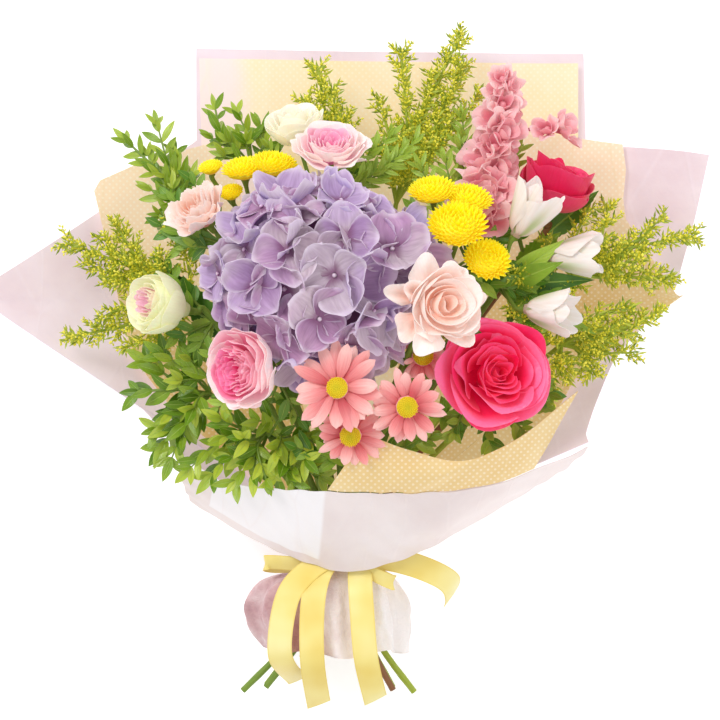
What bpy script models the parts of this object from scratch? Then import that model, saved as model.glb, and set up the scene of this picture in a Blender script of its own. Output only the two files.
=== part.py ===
# Mixed flower bouquet in gathered papers, tied with ribbon, lying on its back.
# Sizes here are millimetres; the meshes are written in metres, +Z up.
# X is right and Y is up in the photo; the flowers face the camera, which is +Z.
import math
import random

import bmesh
import bpy
import numpy as np
from mathutils.bvhtree import BVHTree

# Driving sizes
TIE = np.array([-10.0, -130.0, 48.0])      # middle of the stem bundle where it is tied
STEM_PITCH = 4.6                           # spacing of the stems at the tie
STEM_R = 2.15                              # radius of a flower stem
FAN_END = 94.0                             # length of the longest stem below the tie
PAPER_T = 0.8                              # paper thickness
PAPER_STEP = (1.35, 2.8)                   # spacing of one paper from the next, at the tie and further out
FLAT_TO = -36.0                            # Y where the papers start to rise from the ground towards the tie
PAPER_RISE = 30.6                          # height of the outer paper under the tie
SHEET_START = 8.15                         # distance from the tie to the low edge of the papers
PETAL_T = 0.9                              # petal thickness
RIBBON_W = 16.0
GAP = 0.45                                 # gap between pieces that touch
HYDRANGEA = dict(centre=(-28, 52, 122), size=(70, 64, 56), florets=40, petal=22.0)

for old in list(bpy.data.objects):
    bpy.data.objects.remove(old, do_unlink=True)
PART = bpy.data.collections.new("flower_bouquet")
bpy.context.scene.collection.children.link(PART)
CUTTERS = bpy.data.collections.new("joined_repeats")
bpy.context.scene.collection.children.link(CUTTERS)
CUTTERS.hide_render = True
GROWN = []                                 # finished pieces, to keep later ones clear of them
NODES = {}


# Small helpers: materials, frames, closed shells

def material(name, colour, rough, metal=0.0):
    found = bpy.data.materials.get(name)
    if found:
        return found
    made = bpy.data.materials.new(name)
    made.use_nodes = True
    bsdf = made.node_tree.nodes["Principled BSDF"]
    bsdf.inputs["Base Color"].default_value = (*colour, 1.0)
    bsdf.inputs["Roughness"].default_value = rough
    bsdf.inputs["Metallic"].default_value = metal
    made.diffuse_color = (*colour, 1.0)
    return made


def unit(v):
    v = np.asarray(v, float)
    return v / max(np.linalg.norm(v), 1e-9)


def frame(facing, roll=0.0):
    """Columns: two side directions, then the facing direction."""
    z = unit(facing)
    hint = np.array([0.0, 1.0, 0.0]) if abs(z[1]) < 0.9 else np.array([1.0, 0.0, 0.0])
    x = unit(np.cross(hint, z))
    y = np.cross(z, x)
    c, s = math.cos(roll), math.sin(roll)
    return np.stack([c * x + s * y, c * y - s * x, z], axis=1)


def place(local, base, axes):
    return np.asarray(local, float) @ axes.T + np.asarray(base, float)


def grid_shell(points, thick):
    """Closed shell of even thickness round a grid of middle-surface points."""
    p = np.asarray(points, float)
    m, n = p.shape[:2]
    du = np.gradient(p, axis=0)
    dv = np.gradient(p, axis=1)
    nor = np.cross(du, dv)
    nor /= np.maximum(np.linalg.norm(nor, axis=2, keepdims=True), 1e-9)
    v = np.concatenate([(p + nor * thick / 2).reshape(-1, 3), (p - nor * thick / 2).reshape(-1, 3)])
    low = m * n

    def at(i, j):
        return i * n + j
    f = []
    for i in range(m - 1):
        for j in range(n - 1):
            a, b, c, d = at(i, j), at(i + 1, j), at(i + 1, j + 1), at(i, j + 1)
            f += [(a, b, c, d), (d + low, c + low, b + low, a + low)]
    rim = [at(i, 0) for i in range(m)] + [at(m - 1, j) for j in range(1, n)]
    rim += [at(i, n - 1) for i in range(m - 2, -1, -1)] + [at(0, j) for j in range(n - 2, 0, -1)]
    for a, b in zip(rim, rim[1:] + rim[:1]):
        f.append((b, a, a + low, b + low))
    return v, f


def ring_shell(inner, outer):
    """Closed tube wall between two stacks of rings, each rows x around x 3."""
    a, b = np.asarray(inner, float), np.asarray(outer, float)
    m, n = a.shape[:2]
    v = np.concatenate([b.reshape(-1, 3), a.reshape(-1, 3)])
    low = m * n
    f = []
    for i in range(m - 1):
        for j in range(n):
            k = (j + 1) % n
            p, q, r, s = i * n + j, i * n + k, (i + 1) * n + k, (i + 1) * n + j
            f += [(p, q, r, s), (s + low, r + low, q + low, p + low)]
    for j in range(n):
        k = (j + 1) % n
        f.append((k, j, j + low, k + low))
        p, q = (m - 1) * n + j, (m - 1) * n + k
        f.append((p, q, q + low, p + low))
    return v, f


def tube(path, radii, sides=5):
    """Closed round stem along a path, with a radius at each point."""
    p = np.asarray(path, float)
    n = len(p)
    radii = np.full(n, radii, float) if np.isscalar(radii) else np.asarray(radii, float)
    tan = np.gradient(p, axis=0)
    tan /= np.linalg.norm(tan, axis=1, keepdims=True)
    side = unit(np.cross(tan[0], [0.31, 0.2, 0.93]))
    v = []
    for i in range(n):
        side = unit(side - tan[i] * np.dot(side, tan[i]))
        up = np.cross(tan[i], side)
        for k in range(sides):
            a = 2 * math.pi * k / sides
            v.append(p[i] + radii[i] * (math.cos(a) * side + math.sin(a) * up))
    f = []
    for i in range(n - 1):
        for k in range(sides):
            j = (k + 1) % sides
            f.append((i * sides + k, i * sides + j, (i + 1) * sides + j, (i + 1) * sides + k))
    f.append(tuple(range(sides - 1, -1, -1)))
    f.append(tuple((n - 1) * sides + k for k in range(sides)))
    return np.array(v), f


def lathe(profile, sides, base, axes):
    """Solid of revolution; the first and last profile points are on the axis."""
    v = [(0, 0, profile[0][1])]
    for r, h in profile[1:-1]:
        v += [(r * math.cos(2 * math.pi * k / sides), r * math.sin(2 * math.pi * k / sides), h)
              for k in range(sides)]
    v.append((0, 0, profile[-1][1]))
    rows = len(profile) - 2
    f = [(0, 1 + (k + 1) % sides, 1 + k) for k in range(sides)]
    for i in range(rows - 1):
        for k in range(sides):
            j = (k + 1) % sides
            a = 1 + i * sides
            f.append((a + k, a + j, a + sides + j, a + sides + k))
    a = 1 + (rows - 1) * sides
    f += [(a + k, a + (k + 1) % sides, len(v) - 1) for k in range(sides)]
    return place(v, base, axes), f


def blade(base, along, up, length, width, thick=1.0, bend=0.0, shape=((0.3, 0.85), (0.7, 0.9)),
          fold=0.12, tip=0.0):
    """Leaf or ray petal: a pointed solid with a raised middle, two or three stations long."""
    along = unit(along)
    up = unit(np.asarray(up, float) - along * np.dot(up, along))
    side = np.cross(along, up)
    base = np.asarray(base, float)
    v = [base - along * 0.6]
    for s, w in shape:
        mid = base + along * (length * s) + up * (bend * length * s * s)
        half = 0.5 * width * w
        v += [mid + side * half + up * fold * width, mid + up * thick * 0.55,
              mid - side * half + up * fold * width, mid - up * thick * 0.55]
    v.append(base + along * length + up * (bend * length + tip))
    f = []
    for k in range(4):
        j = (k + 1) % 4
        f.append((0, 1 + j, 1 + k))
        for i in range(len(shape) - 1):
            a = 1 + 4 * i
            f.append((a + k, a + j, a + 4 + j, a + 4 + k))
        a = 1 + 4 * (len(shape) - 1)
        f.append((a + k, a + j, len(v) - 1))
    return np.array(v), f


def bud(base, along, length, r):
    """Small pointed bud or tuft: a six-sided solid."""
    axes = frame(along)
    v = place([(0, 0, -0.5), (r, 0, length * 0.5), (-0.5 * r, 0.87 * r, length * 0.5),
               (-0.5 * r, -0.87 * r, length * 0.5), (0, 0, length)], base, axes)
    return v, [(0, 2, 1), (0, 3, 2), (0, 1, 3), (1, 2, 4), (2, 3, 4), (3, 1, 4)]


def cup_petal(angle, width, r, h, open_deg, base_r=2.2, base_h=1.2, curl=0.0, round_=0.22,
              slant=0.07, ruffle=0.0, waves=2.0, nu=4, nv=3, frill=0.0):
    """Middle surface of a petal of a cupped bloom, in the bloom's own frame."""
    out = np.zeros((nu, nv, 3))
    top = math.radians(open_deg)
    for i in range(nu):
        u = -1 + 2 * i / (nu - 1)
        for j in range(nv):
            v = j / (nv - 1)
            vv = v * (1 - round_ * u * u) * (1 - frill * (i % 2))
            lean = math.sin(top * vv) / math.sin(top)
            rise = (1 - math.cos(top * vv)) / (1 - math.cos(top))
            rho = base_r + (r - base_r) * lean * (1 + slant * u) + curl * r * vv ** 6
            z = base_h + (h - base_h) * rise - 0.5 * curl * r * vv ** 6
            z += ruffle * r * math.sin(waves * math.pi * u + angle) * vv * vv
            spread = 0.42 + 0.58 * min(1.0, vv * 1.6)
            a = angle + math.radians(width) / 2 * u * spread
            out[i, j] = (rho * math.cos(a), rho * math.sin(a), max(z, 0.5))
    return out


# Joining: one union on a collection, then hollows filled and scraps dropped

def to_mesh(name, v, f):
    mesh = bpy.data.meshes.new(name)
    mesh.from_pydata((np.asarray(v) / 1000.0).tolist(), [], [tuple(int(i) for i in p) for p in f])
    bm = bmesh.new()
    bm.from_mesh(mesh)
    bmesh.ops.triangulate(bm, faces=bm.faces)
    bmesh.ops.recalc_face_normals(bm, faces=bm.faces)
    if bm.calc_volume(signed=True) < 0:
        bmesh.ops.reverse_faces(bm, faces=bm.faces)
    bm.to_mesh(mesh)
    bm.free()
    return mesh


def biggest_island(mesh):
    bm = bmesh.new()
    bm.from_mesh(mesh)
    seen, islands = set(), []
    for start in bm.verts:
        if start in seen:
            continue
        stack, island = [start], []
        seen.add(start)
        while stack:
            v = stack.pop()
            island.append(v)
            for e in v.link_edges:
                w = e.other_vert(v)
                if w not in seen:
                    seen.add(w)
                    stack.append(w)
        islands.append(island)
    islands.sort(key=len)
    dropped = [v for island in islands[:-1] for v in island]
    big = [len(i) for i in islands[:-1] if len(i) > 11]
    if dropped:
        bmesh.ops.delete(bm, geom=dropped, context="VERTS")
    bmesh.ops.triangulate(bm, faces=bm.faces)
    bm.to_mesh(mesh)
    bm.free()
    return big


def fuse(name, shells, mat, keep=1.0):
    """Make one named piece of the shells, joined by one union on a collection, then thinned out."""
    base = bpy.data.objects.new(name, to_mesh(name, *shells[0]))
    PART.objects.link(base)
    if len(shells) > 1:
        group = bpy.data.collections.new("join_" + name)
        CUTTERS.children.link(group)
        for i, shell in enumerate(shells[1:]):
            piece = bpy.data.objects.new(f"{name}_{i}", to_mesh(name, *shell))
            piece.display_type = "WIRE"
            group.objects.link(piece)
        union = base.modifiers.new("join", "BOOLEAN")
        union.operation = "UNION"
        union.operand_type = "COLLECTION"
        union.collection = group
        union.solver = "MANIFOLD"
        bpy.context.view_layer.update()
        done = bpy.data.meshes.new_from_object(base.evaluated_get(bpy.context.evaluated_depsgraph_get()))
        base.modifiers.clear()
        base.data = done
        for piece in list(group.objects):
            bpy.data.objects.remove(piece, do_unlink=True)
        bpy.data.collections.remove(group)
    lost = biggest_island(base.data)
    if keep < 1.0:
        thin = base.modifiers.new("thin", "DECIMATE")
        thin.ratio = keep
        bpy.context.view_layer.update()
        done = bpy.data.meshes.new_from_object(base.evaluated_get(bpy.context.evaluated_depsgraph_get()))
        base.modifiers.clear()
        base.data = done
    if lost:
        print("note: dropped parts of", name, lost)
    base.data.materials.clear()
    base.data.materials.append(mat)
    v = np.array([tuple(p.co) for p in base.data.vertices]) * 1000
    f = [tuple(p.vertices) for p in base.data.polygons]
    register(name, v, f)
    NODES[name] = len(f)
    return base


def register(name, v, f):
    GROWN[:] = [g for g in GROWN if g[0] != name]
    GROWN.append((name, BVHTree.FromPolygons(v.tolist(), f), v.min(0), v.max(0)))


def fits(shell, gap=0.4, skip=""):
    """True where a shell stays clear of every finished piece."""
    v, f = shell
    lo, hi = v.min(0) - gap, v.max(0) + gap
    own = None
    for name, tree, low, high in GROWN:
        if name == skip or (lo > high).any() or (hi < low).any():
            continue
        if own is None:
            own = BVHTree.FromPolygons(v.tolist(), f)
        if tree.overlap(own):
            return False
        if any(tree.find_nearest(p, gap)[0] is not None for p in v.tolist()):
            return False
        mid = v.mean(0)
        near, normal, _, _ = tree.find_nearest(mid.tolist())
        if near is not None and np.dot(mid - np.array(near), np.array(normal)) < 0:
            return False
    return True


def kept(shells, gap=0.4):
    return [s for s in shells if fits(s, gap)]


# Colours

PINK = material("paper_pink", (0.86, 0.72, 0.75), 0.6)
CREAM = material("paper_cream", (0.93, 0.78, 0.42), 0.6)
MAUVE = material("paper_mauve", (0.74, 0.56, 0.58), 0.5)
RIBBON = material("ribbon_yellow", (0.93, 0.80, 0.25), 0.4)
TWINE = material("binding_cord", (0.62, 0.55, 0.38), 0.8)
STEM = material("stem_green", (0.20, 0.38, 0.08), 0.5)
LEAF = material("leaf_green", (0.13, 0.36, 0.05), 0.4)
GOLDENROD = material("goldenrod", (0.42, 0.50, 0.05), 0.6)
LILAC = material("petal_lilac", (0.45, 0.38, 0.72), 0.6)
CRIMSON = material("petal_crimson", (0.80, 0.02, 0.12), 0.5)
ROSE = material("petal_rose", (0.90, 0.45, 0.5), 0.5)
IVORY = material("petal_ivory", (0.90, 0.82, 0.66), 0.5)
PEACH = material("petal_peach", (0.95, 0.68, 0.58), 0.6)
CORAL = material("petal_coral", (0.95, 0.38, 0.30), 0.5)
EYE = material("disc_green_yellow", (0.70, 0.68, 0.05), 0.7)
YELLOW = material("petal_yellow", (0.95, 0.70, 0.01), 0.5)
WHITE = material("petal_white", (0.93, 0.90, 0.85), 0.45)
SNAP = material("petal_snapdragon", (0.92, 0.42, 0.50), 0.5)


# Papers: back and side sheets lie on one trough-shaped surface, each a layer above the last

def smooth(x, a, b):
    t = min(1.0, max(0.0, (x - a) / (b - a)))
    return t * t * (3 - 2 * t)


def trough(x, y):
    """Height of the outer paper: flat on the ground under the heads, rising to the tie and wings."""
    low = PAPER_RISE * (max(0.0, FLAT_TO - y) / (FLAT_TO - TIE[1])) ** 2
    flat = 88.0 * smooth(y, -135, 10)
    ys = [-140, -120, -95, -73, -25, 40, 140, 215]
    rise = [0.110, 0.075, 0.026, 0.0115, 0.0064, 0.0020, 0.0020, 0.0010]
    steep = math.exp(float(np.interp(y, ys, [math.log(r) for r in rise])))
    off = max(0.0, abs(x - TIE[0] * smooth(-y, -20, 130)) - flat)
    return low + steep * off * off


def reach(outline, angle):
    """Distance from the tie to an outline along a compass angle measured from +Y."""
    d = np.array([math.sin(angle), math.cos(angle)])
    best = 0.0
    for a, b in zip(outline, outline[1:]):
        a, b = np.array(a, float) - TIE[:2], np.array(b, float) - TIE[:2]
        e = b - a
        den = d[0] * e[1] - d[1] * e[0]
        if abs(den) < 1e-9:
            continue
        t = (a[0] * e[1] - a[1] * e[0]) / den
        s = (a[0] * d[1] - a[1] * d[0]) / den
        if -1e-6 <= s <= 1 + 1e-6 and t > best:
            best = t
    return best


# Compass angles shared by every sheet, so that the layers keep their spacing; the corners are among them.
ANGLES = [-60.5, -56, -55.2, -51.7, -44, -35.5, -27, -16.7, -6, 6, 16, 25.75, 31, 42.7, 48, 53.5, 54.5, 60, 63.5]


RADII = [36, 64, 96, 134, 182, 250]


def sheet_shell(outline, layer, first, last):
    """Closed sheet between two compass angles, on rows that every sheet shares."""
    top, low, cols = [], [], []
    for a in [math.radians(d) for d in ANGLES if first - 0.1 <= d <= last + 0.1]:
        start = SHEET_START / math.cos(a)
        far = max(reach(outline, a), start + 12)
        col = []
        for r in [start] + [q for q in RADII if q < far - 9] + [far]:
            x, y = TIE[0] + r * math.sin(a), TIE[1] + r * math.cos(a)
            g = np.array([(trough(x + 2, y) - trough(x - 2, y)) / 4, (trough(x, y + 2) - trough(x, y - 2)) / 4])
            n = unit([-g[0], -g[1], 1.0])
            step = PAPER_STEP[0] + (PAPER_STEP[1] - PAPER_STEP[0]) * smooth(r, 50, 130)
            p = np.array([x, y, trough(x, y)]) + n * (step * layer)
            col.append((len(top), r))
            top.append(p + n * PAPER_T)
            low.append(p)
        cols.append(col)
    f = []
    for a, b in zip(cols, cols[1:]):
        i = j = 0
        while i < len(a) - 1 or j < len(b) - 1:
            p, q = a[i][0], b[j][0]
            ra = a[i + 1][1] if i < len(a) - 1 else 1e9
            rb = b[j + 1][1] if j < len(b) - 1 else 1e9
            if i < len(a) - 1 and (ra <= rb + 9.0 or j == len(b) - 1):
                f.append((p, q, a[i + 1][0]))
                i += 1
            else:
                f.append((p, q, b[j + 1][0]))
                j += 1
    n = len(top)
    f += [(c + n, b + n, a + n) for a, b, c in f]
    rim = [c[0][0] for c in cols] + [k for k, _ in cols[-1][1:]]
    rim += [c[-1][0] for c in cols[-2:0:-1]] + [k for k, _ in cols[0][:0:-1]]
    f += [(b, a, a + n, b + n) for a, b in zip(rim, rim[1:] + rim[:1])]
    return np.array(top + low), f


SHEETS = {
    "sheet_back_pink": (PINK, 0, -44, 43, [(-112, -80), (-114, 216), (155, 212), (158, -10)]),
    "sheet_left_pink": (PINK, 1, -60.5, -16, [(-128, -95), (-113, -73), (-157, -26), (-243, 30),
                                              (-245, 55), (-177, 104), (-90, 170), (-40, 170)]),
    "sheet_right_pink": (PINK, 1, 16, 63.5, [(40, 160), (157, 149), (237, 138), (228, 95), (215, 45),
                                             (176, 0), (149, -52), (150, -90)]),
    "sheet_back_cream": (CREAM, 2, -44, 43, [(-104, -80), (-111.6, 208.4), (151.3, 204.4), (152, -10)]),
    "sheet_left_cream": (CREAM, 3, -56, -16, [(-128, -45), (-160, 0), (-172, 60), (-186, 120),
                                              (-150, 137), (-95, 152), (-40, 158)]),
    "sheet_right_cream": (CREAM, 3, 16, 60, [(40, 150), (120, 158), (186, 145), (182, 100), (222, 38),
                                             (174, 4), (150, -20), (126, -60), (120, -90)]),
}
for name, (mat, layer, first, last, outline) in SHEETS.items():
    fuse(name, [sheet_shell(outline, layer, first, last)], mat)


def spline(points, t):
    """Smooth curve through control points, t from 0 to 1."""
    p = np.asarray(points, float)
    n = len(p) - 1
    x = min(max(t, 0.0), 1.0) * n
    i = min(int(x), n - 1)
    f = x - i
    a, b = p[max(i - 1, 0)], p[i]
    c, d = p[i + 1], p[min(i + 2, n)]
    return 0.5 * (2 * b + (c - a) * f + (2 * a - 5 * b + 4 * c - d) * f * f
                  + (3 * b - a - 3 * c + d) * f ** 3)


def loft(curves, nu, nv):
    """Grid through control curves, smooth both ways."""
    return np.array([[spline([spline(c, i / (nu - 1)) for c in curves], j / (nv - 1))
                      for j in range(nv)] for i in range(nu)])


COLLAR = [
    [(-113, -95, 50), (-72, -119, 58), (-38, -132, 74), (-6, -138, 84), (34, -128, 80), (76, -108, 64),
     (122, -82, 50)],
    [(-116, -88, 55), (-70, -104, 76), (-36, -112, 98), (-3, -114, 108), (34, -111, 106), (80, -96, 88),
     (138, -72, 54)],
    [(-119, -78, 60), (-66, -82, 102), (-34, -83, 120), (0, -84, 128), (36, -84, 128), (84, -80, 112),
     (152, -58, 62)],
]
fuse("sheet_front_pink", [grid_shell(loft(COLLAR, 11, 3), PAPER_T)], PINK)
FLAP = [(4, -46, 141), (30, -56, 141), (66, -63, 138), (104, -47, 123), (140, -20, 101)]


def flap_points(columns, rows, first=0.4, last=0.9):
    """The folded front edge: it starts just inside the lip of the collar and turns in over the flowers."""
    out = np.zeros((columns, rows, 3))
    for i in range(columns):
        s = i / (columns - 1)
        lip = spline(COLLAR[2], first + (last - first) * s) + np.array([0, 1.3, 0.1])
        inner = spline(FLAP, s)
        for j in range(rows):
            t = j / (rows - 1)
            out[i, j] = lip + (inner - lip) * t + np.array([0, 0, 5.0 * math.sin(math.pi * t)])
    return out


fuse("sheet_front_cream", [grid_shell(flap_points(6, 3), PAPER_T)], CREAM)


# Below the tie: ribbon band, binding cord, gathered paper skirt and ribbon tails

def ring(y, rx, rz, n, flute=0.0, folds=9, cx=TIE[0], cz=TIE[2]):
    out = []
    for k in range(n):
        a = 2 * math.pi * k / n
        s = 1 + flute * math.cos(folds * a)
        out.append((cx + rx * s * math.cos(a), y, cz + rz * s * math.sin(a)))
    return out


def hoop(y0, y1, r, t, n):
    return ring_shell([ring(y0, r, r, n), ring(y1, r, r, n)], [ring(y0, r + t, r + t, n), ring(y1, r + t, r + t, n)])


fuse("ribbon_band", [hoop(-138, -122, 18.4, 0.8, 12)], RIBBON)
fuse("binding_cord", [hoop(-134, -126, 15.1, 2.6, 12)], TWINE)
SKIRT = [(-138.6, 19, 19, 0.01, 0), (-148, 42, 27, 0.07, -11), (-168, 50, 31, 0.10, -12), (-194, 45, 29, 0.08, -6)]


def skirt_rings(inset):
    return [ring(y, rx - inset, rz - inset, 24, fl, 8, TIE[0] + dx, TIE[2] - 0.1 * abs(dx))
            for y, rx, rz, fl, dx in SKIRT]


fuse("skirt_paper", [ring_shell(skirt_rings(PAPER_T), skirt_rings(0.0))], MAUVE)


def strip(points, n, width=RIBBON_W, t=0.8, side=(1, 0, 0)):
    """Flat ribbon along a smooth path, lying across a side direction."""
    mid = np.array([spline(points, i / (n - 1)) for i in range(n)])
    tan = np.gradient(mid, axis=0)
    out = np.zeros((n, 2, 3))
    for i in range(n):
        s = unit(np.asarray(side, float) - unit(tan[i]) * np.dot(side, unit(tan[i])))
        out[i, 0], out[i, 1] = mid[i] - s * width / 2, mid[i] + s * width / 2
    return grid_shell(out, t)


def knot(x):
    """Low knot bent to the band."""
    out = []
    for dx in (-4.4, 0.0, 4.4):
        z = TIE[2] + math.sqrt(19.7 ** 2 - (x + dx - TIE[0]) ** 2) + 1.7
        out.append([(x + dx, -137, z), (x + dx, -123, z)])
    return grid_shell(np.array(out, float), 2.4)


TAILS = {
    "ribbon_tails_left": [
        [(-17, -131, 69.6), (-35, -139, 79), (-48, -157, 86), (-52, -193, 86), (-40, -215, 56)],
        [(-19, -131, 70.4), (-27, -141, 80), (-31, -162, 88), (-31, -197, 87), (-27, -232, 56)],
        [(-16, -132.5, 69.2), (-38, -134.5, 68), (-61, -134, 64), (-56, -137, 60), (-18, -134.5, 69.8)],
    ],
    "ribbon_tails_right": [
        [(1, -131, 69.6), (0, -141, 80), (1, -160, 87), (4, -195, 86), (11, -228, 64)],
        [(-3, -130, 69.2), (20, -131, 74), (44, -138, 74), (60, -148, 66), (61, -160, 56)],
        [(-4, -134, 69.6), (10, -141, 79), (22, -146, 78), (15, -143, 72), (-3, -134, 69.0)],
    ],
}


def tails(name):
    x = -15.2 if "left" in name else -4.8
    shells = [knot(x)]
    for i, path in enumerate(TAILS[name]):
        wide = RIBBON_W if i < 2 else 10.0
        side = (0.45, 0.9, 0) if "right" in name and i == 1 else (1, 0.05, 0)
        if i == 2:
            side = (0, 1, 0.3)
        shells.append(strip(path, 6, wide, 0.8, side))
    return shells


for name in TAILS:
    fuse(name, tails(name), RIBBON, 0.6)


# Stems: a tight bundle at the tie that opens evenly above and below, so no two ever cross

def lattice(count):
    spots = [(STEM_PITCH * (i + 0.5 * (j % 2)), STEM_PITCH * 0.866 * j) for i in range(-5, 6) for j in range(-5, 6)]
    spots.sort(key=lambda s: ((s[0] - 1.2) ** 2 + (s[1] - 0.8) ** 2))
    return [np.array(s) - np.mean(spots[:count], axis=0) for s in spots[:count]]


RAMP = 1.35
HEADS = {
    "rose_low": dict(c=(83, -9, 125), f=(0.05, 0.12, 1), r=36, h=36),
    "rose_top": dict(c=(128, 110, 75), f=(0.2, 0.85, 0.5), r=27, h=32),
    "garden_rose_low": dict(c=(-70, -5, 146), f=(-0.5, -0.05, 0.85), r=25, h=26),
    "garden_rose_left": dict(c=(-125, 35, 105), f=(-0.75, 0.15, 0.5), r=20, h=32),
    "carnation_right": dict(c=(46, 33, 172), f=(0.1, 0.0, 1), r=31, h=26),
    "carnation_left": dict(c=(-104, 95, 110), f=(-0.5, 0.6, 0.62), r=21, h=22),
    "garden_rose_top_front": dict(c=(-19, 136, 103), f=(0.05, 0.75, 0.66), r=24, h=20),
    "garden_rose_top_back": dict(c=(-42, 152, 73), f=(-0.2, 0.85, 0.5), r=19, h=28),
    "daisy_1": dict(c=(-14, -17, 166), f=(-0.1, 0.05, 1), r=31, h=12),
    "daisy_2": dict(c=(29, -29, 158), f=(0.15, -0.1, 1), r=26, h=12),
    "daisy_3": dict(c=(-6, -47, 148), f=(-0.1, -0.3, 0.95), r=24, h=12),
    "pompon_left_1": dict(c=(-97, 125, 92), f=(-0.2, 0.9, 0.44), r=8, h=8),
    "pompon_left_2": dict(c=(-75, 123, 97), f=(-0.1, 0.9, 0.44), r=14, h=12),
    "pompon_left_2b": dict(c=(-56, 126, 97), f=(0.1, 0.9, 0.44), r=15, h=13),
    "pompon_left_3": dict(c=(-84, 109, 88), f=(-0.2, 0.8, 0.6), r=8, h=8),
    "pompon_right_1": dict(c=(46, 107, 122), f=(-0.1, 0.85, 0.5), r=15, h=13),
    "pompon_right_1b": dict(c=(69, 102, 121), f=(0.15, 0.85, 0.5), r=15, h=13),
    "pompon_right_2": dict(c=(61, 84, 140), f=(0.0, 0.65, 0.75), r=21, h=17),
    "pompon_right_3": dict(c=(80, 63, 128), f=(0.2, 0.5, 0.85), r=17, h=15),
    "alstroemeria_1": dict(c=(109, 95, 112), f=(0.5, 0.8, 0.3), r=16, h=38),
    "alstroemeria_2": dict(c=(138, 68, 100), f=(0.97, 0.05, 0.25), r=15, h=36),
    "alstroemeria_3": dict(c=(121, 31, 118), f=(0.92, -0.1, 0.38), r=15, h=34),
}
for head in HEADS.values():
    head["f"] = unit(head["f"])
    head["b"] = np.array(head["c"], float) - head["f"] * head["h"] * 0.5

SPRAYS = {
    "garden_rose_top_stem": ((-28, 105, 68), ["garden_rose_top_front", "garden_rose_top_back"]),
    "daisy_stem": ((2, -62, 112), ["daisy_1", "daisy_2", "daisy_3"]),
    "pompon_left_stem": ((-68, 88, 72), ["pompon_left_1", "pompon_left_2", "pompon_left_2b", "pompon_left_3"]),
    "pompon_right_stem": ((56, 58, 100), ["pompon_right_1", "pompon_right_1b", "pompon_right_2",
                                          "pompon_right_3"]),
    "alstroemeria_stem": ((92, 50, 88), ["alstroemeria_1", "alstroemeria_2", "alstroemeria_3"]),
}
SINGLES = {"rose_low_stem": "rose_low", "rose_top_stem": "rose_top", "garden_rose_low_stem": "garden_rose_low",
           "garden_rose_left_stem": "garden_rose_left", "carnation_right_stem": "carnation_right",
           "carnation_left_stem": "carnation_left"}
SPIRE = [(82, 92, 78), (86, 120, 76), (91, 152, 74), (95, 184, 70)]
FRONDS = {
    "goldenrod_top_left": ((2, 105, 52), [(-31, 204, 42), (-40, 180, 48), (-12, 168, 58)]),
    "goldenrod_top": ((24, 104, 60), [(70, 226, 38), (28, 214, 44), (72, 204, 46)]),
    "goldenrod_left": ((-112, 40, 66), [(-201, 81, 62), (-167, 94, 64), (-199, 13, 62)]),
    "goldenrod_right": ((140, 55, 72), [(228, 85, 62), (166, 106, 78), (212, 54, 66)]),
    "goldenrod_low_right": ((132, 10, 80), [(202, 33, 76), (157, -12, 88), (183, 20, 92)]),
    "greens_top_left": ((-112, 100, 62), [(-164, 155, 58), (-150, 118, 66), (-128, 150, 54)]),
    "greens_top": ((-72, 128, 58), [(-104, 179, 52), (-64, 168, 54), (-86, 160, 60)]),
    "greens_low_left": ((-98, -22, 84), [(-157, -20, 92), (-142, -52, 92), (-150, 4, 88), (-138, -66, 84)]),
    "greens_low": ((-60, -48, 92), [(-106, -82, 96), (-72, -84, 112), (-36, -78, 120), (-100, -34, 116), (-46, -30, 120)]),
}
TARGETS = {"hydrangea_stem": (-27, 46, 76), "snapdragon_stem": (80, 78, 76)}
for name, head in SINGLES.items():
    TARGETS[name] = HEADS[head]["b"] - HEADS[head]["f"] * 16
for name, (junction, _) in list(SPRAYS.items()) + list(FRONDS.items()):
    TARGETS[name] = junction


def slopes(order, spots, names):
    total = 0.0
    for name, k in zip(names, order):
        t = np.array(TARGETS[name], float)
        o = spots[k]
        s = (np.array([t[0] - TIE[0], t[2] - TIE[2]]) - o) / (t[1] - TIE[1]) ** RAMP
        total += float(np.dot(o, s))
    return total


def assign():
    """Give each stem the place in the bundle that leans most nearly its own way."""
    names = sorted(TARGETS)
    spots = lattice(len(names))
    order = list(range(len(names)))
    better = True
    while better:
        better = False
        for i in range(len(order)):
            for j in range(i):
                now = slopes(order, spots, names)
                order[i], order[j] = order[j], order[i]
                if slopes(order, spots, names) <= now + 1e-12:
                    order[i], order[j] = order[j], order[i]
                else:
                    better = True
    return {name: spots[k] for name, k in zip(names, order)}


SPOT = assign()


def stem_path(name, rows=3):
    """Points of a main stem from its cut end up to its target."""
    o, t = SPOT[name], np.array(TARGETS[name], float)
    out = []
    length = FAN_END * (0.56 + 0.44 * smooth(abs(o[0]), 3, 9))
    for y in (length, length * 0.6, 14.0):
        v = y / FAN_END
        out.append((TIE[0] + o[0] * (1 + 4.6 * v * v) - 12 * v, TIE[1] - y, TIE[2] + o[1] * (1 + 0.25 * v) - 12 * v))
    for k in range(rows + 1):
        u = k / rows
        y = 6 + (t[1] - TIE[1] - 6) * u
        g = (y / (t[1] - TIE[1])) ** RAMP
        out.append((TIE[0] + o[0] + (t[0] - TIE[0] - o[0]) * g, TIE[1] + y,
                    TIE[2] + o[1] + (t[2] - TIE[2] - o[1]) * g))
    return [np.array(p) for p in out]


def neck(path, head, r=STEM_R, cup=4.0):
    """Carry a stem on into the cup that holds a head."""
    b, f = head["b"], head["f"]
    path = list(path) + [b - f * 8, b - f * 3.5, b - f * GAP]
    radii = [r] * (len(path) - 3) + [r, r * 1.15, cup]
    return path, radii


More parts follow.
